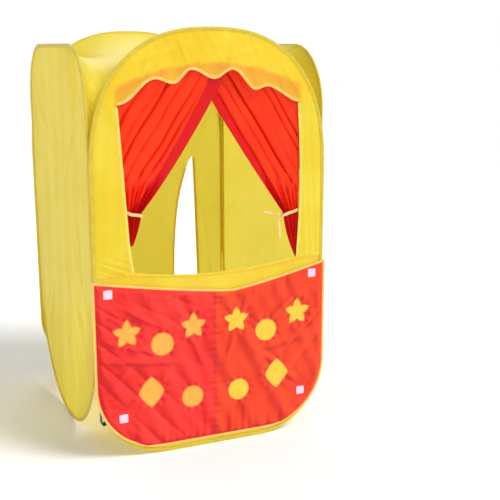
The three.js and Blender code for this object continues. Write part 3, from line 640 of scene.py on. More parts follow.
def arch_cloth(name):
    corner = half_width(ARCH_EDGE, ARCH_SEAM)
    across = crowded(-corner, corner, 300, 0.5)
    crown = ARCH_EDGE[(ARCH_EDGE[:, 1] > SPRING) & (ARCH_EDGE[:, 0] >= 0)][::-1]
    inside = (across > -WINDOW_TOP[-1]) & (across < WINDOW_TOP[1])
    x, z = columns(across, np.where(inside, scallop(across), ARCH_SEAM),
                   np.interp(np.abs(across), crown[:, 0], crown[:, 1]), np.linspace(0, 1, 56))
    uneven = 0.005 * ripple(x, 0.060, 34) + 0.0015 * ripple(x, 0.014, 35)
    below = curtain_head(x) + 0.007 + uneven - z
    within = eased((of_side(x, WINDOW_TOP) + 0.010 - np.abs(x)) / 0.012)
    strong = 0.57 + 0.15 * ripple(x + 0.3 * z, 0.070, 39)
    mark = within * strong * eased((below + 0.004) / 0.012) * (1 - 0.35 * eased((below - 0.012) / 0.02))
    return cloth(name, x, FRONT_Y - arch_lift(x, z), z, ARCH_CLOTH, (0, -1, 0), np.clip(mark, 0, 1))


def strip_lift(side, x, z):
    away, around = from_edge(x, z, ARCH_EDGE)
    inner = np.abs(x - window_edge(side, z))
    lift = 0.0008 + pucker(0.0010, around, 0.020, 36 + side, away, 0.016)
    lift += pucker(0.0010, z, 0.024, 41 + side, inner, 0.014) * eased(away / 0.01)
    lift += 0.0018 * (1 + ripple(x + 0.06 * z * side, 0.028, 46 + side)) * eased(away / 0.015) * eased(inner / 0.012)
    bunched = 0.0024 * ripple(z - 0.4 * side * x, 0.012, 51 + side) * eased((0.61 - z) / 0.05)
    return np.maximum(lift + bunched * eased(away / 0.02), -0.0004) * eased(away / 0.006)


def strip_cloth(name, side):
    z = np.linspace(STRIP_FOOT, ARCH_SEAM, 170)
    x, z = rows(z, *np.sort([side * half_width(ARCH_EDGE, z), window_edge(side, z)], axis=0), 44)
    inside = np.abs(x - window_edge(side, z))
    mark = 0.22 * np.exp(-inside / 0.018) * eased((z - 0.66) / 0.05)
    mark += 0.30 * np.exp(-inside / 0.022) * eased((0.615 - z) / 0.04)
    return cloth(name, x, FRONT_Y - strip_lift(side, x, z), z, FRONT_CLOTH, (0, -1, 0), mark * (side < 0))


def lower_lift(x, z):
    away, around = from_edge(x, z, ARCH_EDGE)
    lift = 0.0005 + pucker(0.0006, around, 0.020, 61, away, 0.02)
    lift += pucker(0.0007, x + 0.4 * z, 0.018, 62, np.maximum(sill(x) - z, 0), 0.030) * eased(away / 0.02)
    return np.clip(lift, -0.0003, 0.0018) * eased(away / 0.006)


def lower_cloth(name):
    corner = half_width(ARCH_EDGE, SILL - 0.01)
    across = crowded(-corner, corner, 260, 0.5)
    foot = ARCH_EDGE[ARCH_EDGE[:, 1] < FOOT + FRONT_CORNER]
    foot = foot[np.argsort(foot[:, 0])]
    x, z = columns(across, np.interp(across, foot[:, 0], foot[:, 1]), sill(across), crowded(0, 1, 130, 0.3))
    mark = np.clip(0.14 + 0.14 * ripple(x + 0.4 * z, 0.11, 63), 0, 1) * eased((z - 0.40) / 0.06)
    return cloth(name, x, FRONT_Y - lower_lift(x, z), z, FRONT_CLOTH, (0, -1, 0), mark)


for piece, node, slot, width, length in [
    (arch_cloth("front_arch_cloth"), "front_arch_panel", "arch_cloth", 0.66, 0.22),
    (strip_cloth("front_left_strip_cloth", -1), "front_left_strip", "yellow_cloth", 0.12, 0.46),
    (strip_cloth("front_right_strip_cloth", 1), "front_right_strip", "yellow_cloth", 0.10, 0.46),
    (lower_cloth("front_lower_cloth"), "front_lower_panel", "yellow_cloth", 0.70, 0.54),
]:
    dress(piece, "front", slot, node)

# %% [markdown]
# The roof is the one cloth that isn't flat. It hangs between four bent bars, so like a soap film it curves up one
# way and down the other. Averaging each point with its neighbours, from a coarse net to a fine one, finds that
# saddle. Where it meets the bars it gathers, most at the four corners. Its two outer strips are pieces of their
# own, because they turn with the side walls as the booth folds.

# %% The roof
ROOF_CLEAR = 0.0026
ROOF_NETS = ((41, 29, 200), (81, 57, 200), (161, 113, 160), (321, 225, 60))
FLANK = 40


def roof_net(down, along):
    """The roof's four rims, with straight lines across between them."""
    share, place = np.linspace(0, 1, down), np.linspace(0, 1, along)
    reach, near = LOOP_HALF - ROOF_CLEAR, (BACK_Y - FRONT_Y) / 2 - ROOF_CLEAR
    across, rise = round_power(share * np.pi, ARCH_POWER)
    arch = points(-reach * across, 0, SPRING + (TOP - SPRING) * np.abs(rise))
    post = SIDE_TOP - SIDE_TOP_CORNER - SPRING
    bend = SIDE_TOP_CORNER * np.pi / 2
    flat = SIDE_HALF - SIDE_TOP_CORNER
    run = (1 - np.abs(2 * place - 1)) * (post + bend + flat)
    angle = np.clip((run - post) / SIDE_TOP_CORNER, 0, np.pi / 2)
    out = np.where(run < post, near + (SIDE_HALF - near) * run / post, flat + SIDE_TOP_CORNER * np.cos(angle))
    out = np.where(run > post + bend, flat - (run - post - bend), out)
    up = np.where(run < post, SPRING + run, SPRING + post + SIDE_TOP_CORNER * np.sin(angle))
    right = points(reach, np.where(place < 0.5, -out, out), up)
    left = right * [-1, 1, 1]
    net = between(left[:, None], right[:, None], share[:, None])
    net[0], net[-1] = arch - [0, near, 0], arch + [0, near, 0]
    net[:, 0], net[:, -1] = left, right
    return net


def relaxed(net, passes):
    for _ in range(passes):
        net[1:-1, 1:-1] = (net[:-2, 1:-1] + net[2:, 1:-1] + net[1:-1, :-2] + net[1:-1, 2:]) / 4
    return net


def finer(net, guide):
    """The guide's rim, round the net with a point added between each two."""
    wide = np.empty_like(guide)
    wide[::2, ::2] = net
    wide[1::2, ::2] = (net[1:] + net[:-1]) / 2
    wide[:, 1::2] = (wide[:, :-2:2] + wide[:, 2::2]) / 2
    guide[1:-1, 1:-1] = wide[1:-1, 1:-1]
    return guide


def roof_shape():
    """The roof's points with their folds, and the painted shade that follows the folds' slope."""
    net = relaxed(roof_net(21, 15), 300)
    for down, along, passes in ROOF_NETS:
        net = relaxed(finer(net, roof_net(down, along)), passes)
    middle = along // 2, down // 2, 2
    u, v = np.linspace(0, 1, down)[None], np.linspace(0, 1, along)[:, None]
    ahead, aside = np.gradient(net, axis=0), np.gradient(net, axis=1)
    normal = np.cross(aside, ahead)
    normal /= np.maximum(np.linalg.norm(normal, axis=2, keepdims=True), 1e-9)
    normal *= np.sign(normal[middle])
    arch_run = np.linalg.norm(aside[0], axis=1).cumsum()[None]
    side_run = np.linalg.norm(ahead[:, 0], axis=1).cumsum()[:, None]
    from_side, from_arch = np.minimum(u, 1 - u), np.minimum(v, 1 - v)
    lift = pucker(0.0024, arch_run + 0.4 * side_run * (1 - 2 * v), 0.030, 71, from_arch, 0.07)
    lift += pucker(0.0034, side_run + 0.10 * u, 0.030, 72, from_side, 0.08)
    corner = side_run * np.sign(v - 0.5) + 0.35 * arch_run
    lift += pucker(0.0070, corner, 0.034, 73, from_side, 0.10) * np.exp(-from_arch / 0.16)
    lift += 0.0022 * ripple(arch_run + 0.2 * side_run, 0.11, 74) * np.sin(np.pi * v) * np.sin(np.pi * u)
    lift *= eased(np.minimum(from_side, from_arch * 0.9) / 0.012)
    net = net + normal * lift[..., None]
    net[..., 1] += (FRONT_Y + BACK_Y) / 2
    # The roof's mark is painted shade that follows the slope of its folds.
    return net, painted_slope_shade(lift.T, side_run.T + 0 * u.T, gain=-0.7).T


def roof_part(name, part, width, body, wires, *nodes):
    piece = cloth_piece(name, [ROOF_POINTS[:, part]], WALL_CLOTH, (0, 0, 1), [ROOF_SLOPE_SHADE[:, part]])
    dress(piece, body, "yellow_cloth", *nodes)
    return piece


ROOF_POINTS, ROOF_SLOPE_SHADE = roof_shape()
roof = roof_part("roof_cloth", np.s_[FLANK:-FLANK], 0.92, "front", ["front_wire", "back_wire"], "roof_panel")
flatten(roof)
for side, name in SIDES:
    part = np.s_[:FLANK + 1] if side < 0 else np.s_[-FLANK - 1:]
    flank = roof_part(f"roof_flank_{name}", part, 0.12, f"{name}_wall", [f"{name}_wire"])
    flatten(flank)

# %% [markdown]
# The back wall is cut into a fixed cloth and a loose flap that folds outwards along a slanting crease. The cloth
# above the crease and the flap are one piece, which is not attached to a body. The cloth right of the slit and the
# strip along the foot stay with the wall.

# %% Back wall and door flap
DOOR_FOOT, DOOR_TOP = 0.095, 0.752
CREASE_FOOT, CREASE_TOP = -0.262, 0.224
SLIT_FOOT, SLIT_TOP = 0.251, 0.229
FLAP_FOOT, FLAP_TOP = 0.0964, 0.734
BACK_FOLDS = [
    (-320, 950, 200, 800, 15.4, 6), (-330, 600, 100, 660, 12.6, 4.5), (330, 1000, 200, 740, 14, 7.5),
    (-200, 1100, 220, 760, 11.2, 4.5), (300, 200, 260, 600, 11.2, 3.6), (-300, 200, -100, 500, 11.2, 3.6),
]


def crease_at(z):
    return CREASE_FOOT + (z - DOOR_FOOT) * (CREASE_TOP - CREASE_FOOT) / (DOOR_TOP - DOOR_FOOT)


def slit_at(z):
    return SLIT_FOOT + (z - DOOR_FOOT) * (SLIT_TOP - SLIT_FOOT) / (DOOR_TOP - DOOR_FOOT)


def flap_edge(z):
    return 0.150 + 0.069 * (np.maximum(z - FLAP_FOOT, 0) / (DOOR_TOP - FLAP_FOOT)) ** 4


def back_lift(x, z):
    """How far the back cloth stands outwards from its plane."""
    away, around = from_edge(x, z, ARCH_EDGE)
    loose = 0.0030 * ripple(x + 0.25 * z, 0.150, 82, 4) + folds(x, z, BACK_FOLDS) + pull_lines(x, z, ARCH_EDGE, 84)
    return (pucker(0.0010, around, 0.022, 81, away, 0.022) + loose * eased(away / 0.015)) * eased(away / 0.008)


def flap_lift(x, z):
    """The same for the flap, whose free edge also sways."""
    sway = pucker(0.002, z, 0.09, 83, np.abs(x - flap_edge(z)), 0.03)
    return back_lift(x, z) + sway * eased((x - crease_at(z)) / 0.1)


def back_grid(z, left, right, count, lift=back_lift):
    x, z = rows(z, left, right, count)
    return points(x, BACK_Y + lift(x, z), z)


def back_grids():
    """The cloth above the crease, the flap, the border right of the slit, and the strip along the foot."""
    def reach(z):
        return half_width(ARCH_EDGE, z)

    meet = np.linspace(0.80, 1.10, 3001)
    meet = meet[np.argmin(np.abs(crease_at(meet) - reach(meet)))]
    slope = np.linspace(DOOR_FOOT, DOOR_TOP, 210)
    crest = np.linspace(DOOR_TOP, meet, 46)[1:]
    upper = np.concatenate([slope, crest, crowded(meet, ARCH_EDGE[:, 1].max(), 80)[1:]])
    low = np.concatenate([slope, crest])
    loose = slope[slope <= FLAP_TOP]
    foot = crowded(ARCH_EDGE[:, 1].min(), DOOR_FOOT - 0.0004, 40)
    high = back_grid(upper, -reach(upper), np.minimum(crease_at(upper), reach(upper)), 150)
    flap = back_grid(loose, crease_at(loose), np.maximum(flap_edge(loose), crease_at(loose) + 0.0005), 90, flap_lift)
    side = np.where(low <= DOOR_TOP, slit_at(low), crease_at(low))
    border = back_grid(low, np.minimum(side, reach(low)), reach(low), 46)
    strip = back_grid(foot, -reach(foot), reach(foot), 200)
    return high, flap, border, strip


high, flap, border, strip = back_grids()
for name, grids, width, length, nodes in [
    ("back_cloth_and_flap", [high, flap], 0.70, 1.12, ["back_upper_panel", "door_crease", "door_flap"]),
    ("back_border_cloth", [border], 0.13, 0.83, ["back_right_border"]),
    ("back_foot_cloth", [strip], 0.62, 0.10, ["back_foot_strip"]),
]:
    # Each back cloth's mark is painted shade, set by the slope of its folds.
    slope_shades = [painted_slope_shade(grid[..., 1], grid[..., 0], gain=-0.6) for grid in grids]
    piece = cloth_piece(name, grids, WALL_CLOTH, (0, 1, 0), slope_shades)
    if "door_flap" in nodes:
        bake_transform(piece)
    else:
        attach(piece, "back_wall")
    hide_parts(*nodes)

# %% [markdown]
# Each curtain is one cut, pleated into the seam behind the arch and squeezed into a ribbon at the side. From
# the seam its pleats turn and run together to the ribbon, and below it the cloth opens and ends in a point.
# Pleats follow a rule, so they are computed: long creases run along the slanting leading edge with round ridges
# between them, and near the ribbon they give way to small gathers. The right curtain crosses behind the left one.
# The leading edge has a wide hem, doubled cloth, so it looks darker.

# %% The two curtains
CURTAIN = {
    -1: {"outer_top": 0.272, "lead_top": -0.056, "waist": 0.702, "outer_waist": 0.2496, "lead_waist": 0.2056,
         "tip": 0.2366, "foot": 0.615, "sweep": 0.86, "hem": 0.040, "seed": 91, "behind": 0.0, "bulge": 0.006,
         "slant": 0.66, "cut": 0.50, "tie_lean": -0.0075, "tie_up": 0.001},
    1: {"outer_top": 0.275, "lead_top": -0.053, "waist": 0.672, "outer_waist": 0.2703, "lead_waist": 0.2193,
        "tip": 0.2643, "foot": 0.538, "sweep": 0.97, "hem": 0.028, "seed": 97, "behind": 0.0205, "bulge": 0.012,
        "slant": 0.64, "cut": 0.56, "tie_lean": 0.0090, "tie_up": 0.003},
}
CURTAIN_REST = FRONT_Y + 0.0028
TIE_HALF = 0.0045
BAND_THIN = 0.0005


def gathers(u, seed, count=7):
    """Depth of the small pleats that the ribbon squeezes together, across the cloth."""
    dice = np.random.default_rng(seed)
    places = np.sort(dice.uniform(-0.35, 0.35, count) + np.arange(count) + 0.5) / count
    phase = np.interp(u, [0, *places, 1], [0, *np.arange(count) + 0.5, count])
    heights = np.interp(np.floor(phase), np.arange(count + 1), dice.uniform(0.6, 1.0, count + 1))
    return heights * (0.5 - 0.5 * np.cos(2 * np.pi * phase)) ** 0.8


def pleats(across, down, seed, hem, count=14):
    """Depth of the long pleats: round ridges at 0, with sharp creases up to 1 deep between them."""
    dice = np.random.default_rng(seed)
    places = hem + np.array([-0.05, 0, *np.cumsum(dice.uniform(0.018, 0.044, count - 2))])
    deep = dice.uniform(0.45, 1.0, count)
    starts = dice.uniform(-0.5, 0.35, count)
    deep[:2] = 0.3, 0.8
    bend = 0.006 * ripple(down, 0.9, seed + 3) + 0.004 * ripple(across + 0.3 * down, 0.12, seed + 4)
    phase = np.interp(across + bend, places, np.arange(count))
    crease = np.clip(np.round(phase), 0, count - 1).astype(int)
    strength = deep[crease] * (0.30 + 0.70 * eased((down - starts[crease]) / 0.4))
    long = strength * (1 - np.abs(np.sin(np.pi * phase))) ** 2
    return long + 0.06 * (1 + ripple(across + 0.1 * down, 0.016, seed + 5))


def curtain(name, side):
    c = CURTAIN[side]
    u = np.linspace(0, 1, 300)[None]
    small = gathers(u, c["seed"])
    v = np.linspace(0, 1, 150)[:, None]
    outer = between(c["outer_top"], c["outer_waist"], v)
    lead = between(c["lead_top"], c["lead_waist"], c["sweep"] * v + (1 - c["sweep"]) * v ** 3)
    away = between(outer, lead, u)
    waist = c["waist"] + TIE_HALF
    z = between(curtain_head(away[:1], c["outer_top"]), waist, v)
    z = z + 0.004 * np.sin(np.pi * u) * np.sin(np.pi * v) * (1 - v)
    across = away + c["slant"] * (z - 1.098) - c["lead_top"]
    folded = between(pleats(across, v, c["seed"], c["hem"]), small, eased((v - 0.60) / 0.38))
    depth = 0.0125 * (1 - v) ** 0.5 + 0.0098 * v ** 2
    cross = c["behind"] * eased((u - 0.25) / 0.40) * (1 - v * v)
    hang = points(side * away, CURTAIN_REST + 0.0012 * v * v + cross + depth * folded, z)
    t = np.linspace(0, 1, 60)[1:, None]
    swell = c["bulge"] * np.sin(np.pi * t) / 2
    outer_low = between(c["outer_waist"], c["tip"] + 0.003, t) + swell
    lead_low = between(c["lead_waist"], c["tip"] - 0.003, t) - swell
    loose = 0.0098 * (1 - t) ** 0.7 * (1 + 0.35 * np.sin(np.pi * t))
    tail = points(side * between(outer_low, lead_low, u), CURTAIN_REST + 0.0012 + loose * small,
                  between(waist, c["foot"], t))
    hem = c["hem"] * (1 - 0.15 * v)
    doubled = eased((hem - (away - lead)) / 0.003)
    # Painted shade: the mark deepens the red in the deep creases between the pleats.
    crease_shade = np.clip((folded - 0.30) / 0.5, 0, 1)
    mark = 0.85 * doubled + 0.15 * np.exp(-((away - lead - hem) / 0.0025) ** 2) + 0.75 * crease_shade * (1 - 0.6 * doubled)
    # Below the tie the cloth is a deeper red all over, and painted shade darkens it more in the hollows of the
    # gathers.
    mark = np.concatenate([mark, 0.62 + 0.25 * small + 0 * t])
    return cloth_piece(name, [np.concatenate([hang, tail])], CURTAIN_CLOTH, (0, -1, 0), [np.clip(mark, 0, 1)])


for side, name in SIDES:
    piece = curtain(f"curtain_cloth_{name}", side)
    dress(piece, "front", "curtain_cloth", f"curtain_{name}")
    flatten(piece)

# %% [markdown]
# The sign is a separate cloth, red on one half and orange on the other, joined by a middle seam and bound all
# round. It hangs from four squares of hook-and-loop, so it is slack: folds fan out from its corners, the foot
# puckers, and the cloth pulls in round each square and each sewn-on shape.

# %% The sign's surface
SIGN_Y = FRONT_Y - 0.0050
SIGN_HALF, SIGN_FOOT, SIGN_CORNER, SIGN_ROUND = 0.354, 0.021, 0.526, 0.198
SIGN_TALL = SIGN_CORNER - SIGN_FOOT
SIGN_DIP = 0.055
PATCHES = {"top_left": (-0.311, 0.489), "top_right": (0.311, 0.489),
           "bottom_left": (-0.277, 0.124), "bottom_right": (0.277, 0.124)}
MOTIFS = [("star", -0.262, 0.372, 0.041), ("disc", -0.160, 0.330, 0.033), ("star", -0.066, 0.372, 0.039),
          ("star", 0.262, 0.376, 0.041), ("disc", 0.160, 0.332, 0.033), ("star", 0.066, 0.374, 0.039),
          ("diamond", -0.195, 0.192, 0.043), ("disc", -0.072, 0.160, 0.032),
          ("diamond", 0.195, 0.192, 0.043), ("disc", 0.072, 0.160, 0.032)]
SIGN_FOLDS = [
    (-350, 300, -100, 270, 10, 3.4), (-340, 360, -160, 300, 8, 2.6), (-310, 470, -170, 380, 9, 3.6),
    (-280, 140, -120, 270, 10, 3.4), (-330, 200, -240, 290, 9, 2.4), (340, 310, 120, 270, 10, 3.2),
    (310, 470, 170, 370, 9, 3.4), (280, 140, 140, 270, 10, 3.2), (-120, 450, -30, 240, 9, 2.4),
    (100, 440, 30, 250, 9, 2.4),
]


def sign_top(x):
    reach = np.where(x < SIGN_DIP, SIGN_DIP + SIGN_HALF, SIGN_HALF - SIGN_DIP)
    return SIGN_CORNER - 0.060 * (1 - (np.abs(x - SIGN_DIP) / reach) ** 1.25)


def sign_edge(v):
    short = np.maximum(0, SIGN_ROUND - v * SIGN_TALL)
    return SIGN_HALF - SIGN_ROUND + np.sqrt(SIGN_ROUND ** 2 - short ** 2)


def sign_lift(x, z):
    """How far the sign's cloth stands forward of its own plane."""
    v = np.clip((z - SIGN_FOOT) / (sign_top(x) - SIGN_FOOT), 0, 1)
    side_gap, top_gap, foot_gap = sign_edge(v) - np.abs(x), (1 - v) * SIGN_TALL, v * SIGN_TALL
    rim = np.minimum(np.minimum(side_gap, top_gap), foot_gap)
    angle = np.arctan2(z - SIGN_FOOT + SIGN_ROUND, np.abs(x) + SIGN_ROUND)
    lift = 0.0009 * (1 + np.cos(angle * 14)) * eased((rim - 0.010) / 0.07)
    turn = 0.42 * np.arctan2(0.76 - z, 0.78 - np.abs(x))
    for side, pitch, height, reach, seed in ((-1, 0.026, 0.0044, 0.22, 111), (1, 0.050, 0.0040, 0.26, 113)):
        crease = 1 - np.abs(np.sin(np.pi * (turn / pitch + 0.35 * ripple(turn, 0.09, seed))))
        deep = height * crease ** 2 * (0.5 + 0.5 * ripple(turn + 0.2 * np.abs(x), 0.10, seed + 1))
        lift -= deep * np.exp(-np.maximum(side_gap, 0) / reach) * eased(np.abs(x) / 0.05) * (side * x > 0)
    lift += 0.0022 + 0.0022 * ripple(x + 0.5 * z, 0.065, 101)
    lift += pucker(0.0016, x, 0.026, 102, foot_gap, 0.045) + pucker(0.0012, x, 0.024, 103, top_gap, 0.035)
    lift += pucker(0.0014, z, 0.024, 104, side_gap, 0.040) + folds(x, z, SIGN_FOLDS) * eased(rim / 0.03)
    for _, at_x, at_z, size in MOTIFS:
        gap = np.maximum(np.hypot(x - at_x, z - at_z) - 0.8 * size, 0)
        turn = np.arctan2(z - at_z, x - at_x)
        lift += 0.0009 * np.sin(11 * turn + at_x * 60) * np.exp(-((gap - 0.008) / 0.010) ** 2)
        lift = between(lift, lift * 0.45 + 0.0005, np.exp(-(gap / 0.012) ** 2))
    lift += pucker(0.0010, z, 0.018, 105, np.abs(x), 0.014)
    for at_x, at_z in PATCHES.values():
        gap = np.maximum(np.maximum(np.abs(x - at_x), np.abs(z - at_z)) - 0.016, 0)
        lift = lift * eased(gap / 0.05)
    return np.clip(lift + 0.0016, -0.0002, 0.0090) * eased((rim - 0.003) / 0.018)


def sign_half(name, side, material, reach=0.004):
    u, v = crowded(0, 1, 210, 0.4)[None], crowded(0, 1, 230, 0.4)[:, None]
    x = side * between(0.0001, sign_edge(v), u)
    z = between(SIGN_FOOT, sign_top(x), v)
    hem = np.exp(-np.minimum(1 - v, v) * SIGN_TALL / 0.006) + np.exp(-np.abs(x) / 0.0016)
    # The sign's mark is its doubled hem and middle seam, a random drift of tone, and painted shade from the slope of
    # the cloth's folds.
    tilt = (sign_lift(x + reach, z + reach / 2) - sign_lift(x - reach, z - reach / 2)) / reach
    tone_and_slope_shade = 0.36 + 0.20 * ripple(x - 0.8 * side * z, 0.12, 106 + side) + 1.6 * tilt
    mark = np.clip(0.5 * np.clip(hem, 0, 1) + np.clip(tone_and_slope_shade, 0, 0.95), 0, 1)
    return cloth(name, x, SIGN_Y - sign_lift(x, z), z, material, (0, -1, 0), mark)


for side, name, slot, material in ((-1, "left", "sign_red", SIGN_RED), (1, "right", "sign_orange", SIGN_ORANGE)):
    piece = sign_half(f"sign_cloth_{name}", side, material)
    dress(piece, "sign", slot, f"sign_{name}")

# %% [markdown]
# Every raw edge on the booth is held in folded tape: wide sleeves round the four hoops, narrow piping round the
# window, the sign and the door. All of it is one idea, a rounded profile that follows an edge, so Geometry
# Nodes makes it. The tree resamples the edge, sweeps the profile along it, and puckers the tape with a noise that
# only changes along the run, as a seam does. Edges are drawn flat, with Z out of the cloth, so that the profile
# stays square.

# %% The tape tree
def new_tree(name, **sockets):
    tree = bpy.data.node_groups.new(name, "GeometryNodeTree")
    for way in ("INPUT", "OUTPUT"):
        tree.interface.new_socket(name="Geometry", in_out=way, socket_type="NodeSocketGeometry")
    for label, kind in sockets.items():
        tree.interface.new_socket(name=label, in_out="INPUT", socket_type=f"NodeSocket{kind}")
    return tree, tree.nodes.new("NodeGroupInput").outputs


def resampled(tree, geometry, length):
    """The geometry's loose edges as a curve with points one length apart."""
    edge = step(tree, "GeometryNodeMeshToCurve", {0: geometry})
    return step(tree, "GeometryNodeResampleCurve", {"Curve": edge.outputs[0], "Length": length}, mode="LENGTH")


def ended(tree, geometry, material):
    """The finished tree: its geometry made real, with a material."""
    real = step(tree, "GeometryNodeRealizeInstances", {0: geometry})
    dyed = step(tree, "GeometryNodeSetMaterial", {0: real.outputs[0], "Material": material})
    step(tree, "NodeGroupOutput", {0: dyed.outputs[0]})
    return tree


def tape_tree():
    tree, given = new_tree("folded tape", Profile="Object", Spacing="Float", Pucker="Float", Pitch="Float",
                           Seed="Float", Material="Material")
    even = resampled(tree, given["Geometry"], given["Spacing"])
    square = step(tree, "GeometryNodeSetCurveNormal", {"Curve": even.outputs[0]}, mode="Z_UP")
    kept = step(tree, "GeometryNodeCaptureAttribute", {"Geometry": square.outputs[0]}, domain="POINT")
    kept.capture_items.new("FLOAT", "run")
    tree.links.new(step(tree, "GeometryNodeSplineParameter").outputs["Length"], kept.inputs["run"])
    profile = step(tree, "GeometryNodeObjectInfo", {"Object": given["Profile"]})
    section = step(tree, "GeometryNodeMeshToCurve", {0: profile.outputs["Geometry"]})
    swept = step(tree, "GeometryNodeCurveToMesh", {"Curve": kept.outputs["Geometry"],
                                                   "Profile Curve": section.outputs[0], "Fill Caps": True})
    offset = step(tree, "ShaderNodeMath", {0: kept.outputs["run"], 1: given["Seed"]}, operation="ADD")
    rate = step(tree, "ShaderNodeMath", {0: 1.0, 1: given["Pitch"]}, operation="DIVIDE")
    noise = step(tree, "ShaderNodeTexNoise", {"W": offset.outputs[0], "Scale": rate.outputs[0], "Detail": 2.0},
                 noise_dimensions="1D")
    middle = step(tree, "ShaderNodeMath", {0: noise.outputs["Fac"], 1: 0.55}, operation="SUBTRACT")
    height = step(tree, "ShaderNodeMath", {0: middle.outputs[0], 1: given["Pucker"]}, operation="MULTIPLY")
    outwards = step(tree, "GeometryNodeInputNormal")
    push = step(tree, "ShaderNodeVectorMath", {0: outwards.outputs[0], "Scale": height.outputs[0]}, operation="SCALE")
    moved = step(tree, "GeometryNodeSetPosition", {"Geometry": swept.outputs[0], "Offset": push.outputs[0]})
    soft = step(tree, "GeometryNodeSetShadeSmooth", {0: moved.outputs[0]})
    return ended(tree, soft.outputs[0], given["Material"])


def line_mesh(name, lines, closed=False):
    """Polylines as loose edges, for a tree to follow."""
    verts, edges = [], []
    for line in lines:
        first = len(verts)
        verts.extend(map(tuple, line))
        edges.extend((first + i, first + i + 1) for i in range(len(line) - 1))
        if closed:
            edges.append((len(verts) - 1, first))
    mesh = bpy.data.meshes.new(name)
    mesh.from_pydata(verts, edges, [])
    return added(name, mesh)


def grown(guide, tree, **inputs):
    """What a tree makes of a guide, as a plain mesh object with the guide's name."""
    modifier = guide.modifiers.new("grow", "NODES")
    modifier.node_group = tree
    sockets = {s.name: s.identifier for s in tree.interface.items_tree if s.in_out == "INPUT"}
    for label, value in inputs.items():
        modifier[sockets[label]] = value
    view = bpy.context.evaluated_depsgraph_get()
    mesh = bpy.data.meshes.new_from_object(guide.evaluated_get(view))
    name, used = guide.name, guide.data
    bpy.data.objects.remove(guide)
    bpy.data.meshes.remove(used)
    mesh.name = name
    return added(name, mesh)


def profile(name, rise, leg, nose, foot, corner=0.4):
    """A folded tape's outline: it rises past the edge, and its two legs thin towards the stitching."""
    outline = [(rise * math.cos(t), nose * math.sin(t)) for t in np.linspace(-math.pi / 2, math.pi / 2, 9)]
    outline += [(-leg * 0.5, (nose + foot) / 2), (-leg + foot * corner, foot), (-leg, foot * (1 - corner))]
    outline += [(-leg, -foot * (1 - corner)), (-leg + foot * corner, -foot), (-leg * 0.5, -(nose + foot) / 2)]
    return line_mesh(name, [[(a, b, 0) for a, b in outline]], closed=True)


TAPE_SPACING, TAPE_PUCKER = 0.003, 0.0007
SLEEVE_PITCH, SIGN_PITCH, PIPING_PITCH = 0.012, 0.010, 0.008
TAPE_TREE = tape_tree()
SLEEVE_PROFILE = profile("sleeve_profile", 0.0038, 0.0080, 0.0029, 0.0021)
PIPING_PROFILE = profile("piping_profile", 0.0014, 0.0064, 0.0018, 0.0014)
SIGN_PROFILE = profile("sign_profile", 0.0011, 0.0060, 0.0016, 0.0013)
PLANES = {
    "front": Matrix(((1, 0, 0, 0), (0, 0, -1, FRONT_Y), (0, 1, 0, 0), (0, 0, 0, 1))),
    "sign": Matrix(((1, 0, 0, 0), (0, 0, -1, SIGN_Y), (0, 1, 0, 0), (0, 0, 0, 1))),
    "back": Matrix(((-1, 0, 0, 0), (0, 0, 1, BACK_Y), (0, 1, 0, 0), (0, 0, 0, 1))),
    "left": Matrix(((0, 0, -1, -LOOP_HALF), (-1, 0, 0, SIDE_Y), (0, 1, 0, 0), (0, 0, 0, 1))),
    "right": Matrix(((0, 0, 1, LOOP_HALF), (1, 0, 0, SIDE_Y), (0, 1, 0, 0), (0, 0, 0, 1))),
}


def tape(name, line, shape, plane, body, material, slot, node, pitch, seed, closed=False):
    """Folded tape along a line that is drawn on one of the planes."""
    piece = grown(line_mesh(name, [line], closed), TAPE_TREE, Profile=shape, Spacing=TAPE_SPACING,
                  Pucker=TAPE_PUCKER, Pitch=pitch, Seed=seed, Material=material)
    piece.data.transform(PLANES[plane])
    dress(piece, body, slot, node)


for number, (name, loop, body) in enumerate(HOOPS):
    tape(f"{name}_sleeve", points(*loop.T), SLEEVE_PROFILE, name, body, SLEEVE_TAPE, "binding_tape",
         f"{name}_binding", SLEEVE_PITCH, 3.0 * number, closed=True)
print("sleeves:", len(HOOPS), "of folded tape")

# %% [markdown]
# Narrow piping closes the window's edges, the scallops, the sill, the sign and the loose edge of the door flap.
# Each line is read off the cloth that it holds, with the cloth's own folds, so that tape and cloth lie together.

# %% Piping
def sign_rim():
    """The sign's edge, anticlockwise from the right end of its foot."""
    v = crowded(0, 1, 240, 0.4)
    right, left = (np.stack([x, between(SIGN_FOOT, sign_top(x), v)], -1) for x in (sign_edge(v), -sign_edge(v)))
    x = np.linspace(SIGN_HALF, -SIGN_HALF, 300)[1:-1]
    return np.concatenate([right, np.stack([x, sign_top(x)], -1), left[::-1]])


def piping(name, line, plane, body, material, slot, node, seed):
    tape(name, line, PIPING_PROFILE, plane, body, material, slot, node, PIPING_PITCH, seed)


x = np.linspace(-WINDOW_TOP[-1], WINDOW_TOP[1], 400)
piping("scallop_tape", points(x, scallop(x), arch_lift(x, scallop(x))), "front", "front", PALE_TAPE, "pale_tape",
       "scallop_piping", 11.0)
for side, name in SIDES:
    z = np.linspace(STRIP_FOOT + 0.0004, ARCH_SEAM - 0.0015, 200)[::-side]
    x = window_edge(side, z)
    piping(f"window_tape_{name}", points(x, z, strip_lift(side, x, z)), "front", "front", WINDOW_TAPE,
           "binding_tape", f"window_piping_{name}", 13.0 + side)
x = np.linspace(0.3376, -0.3376, 400)
piping("sill_tape", points(x, sill(x), lower_lift(x, sill(x))), "front", "front", SILL_TAPE, "arch_cloth",
       "sill_hem", 17.0)
tape("sign_tape", points(*sign_rim().T), SIGN_PROFILE, "sign", "sign", PALE_TAPE, "pale_tape", "sign_binding",
     SIGN_PITCH, 19.0, closed=True)
z = np.linspace(FLAP_FOOT, FLAP_TOP - 0.022, 200)
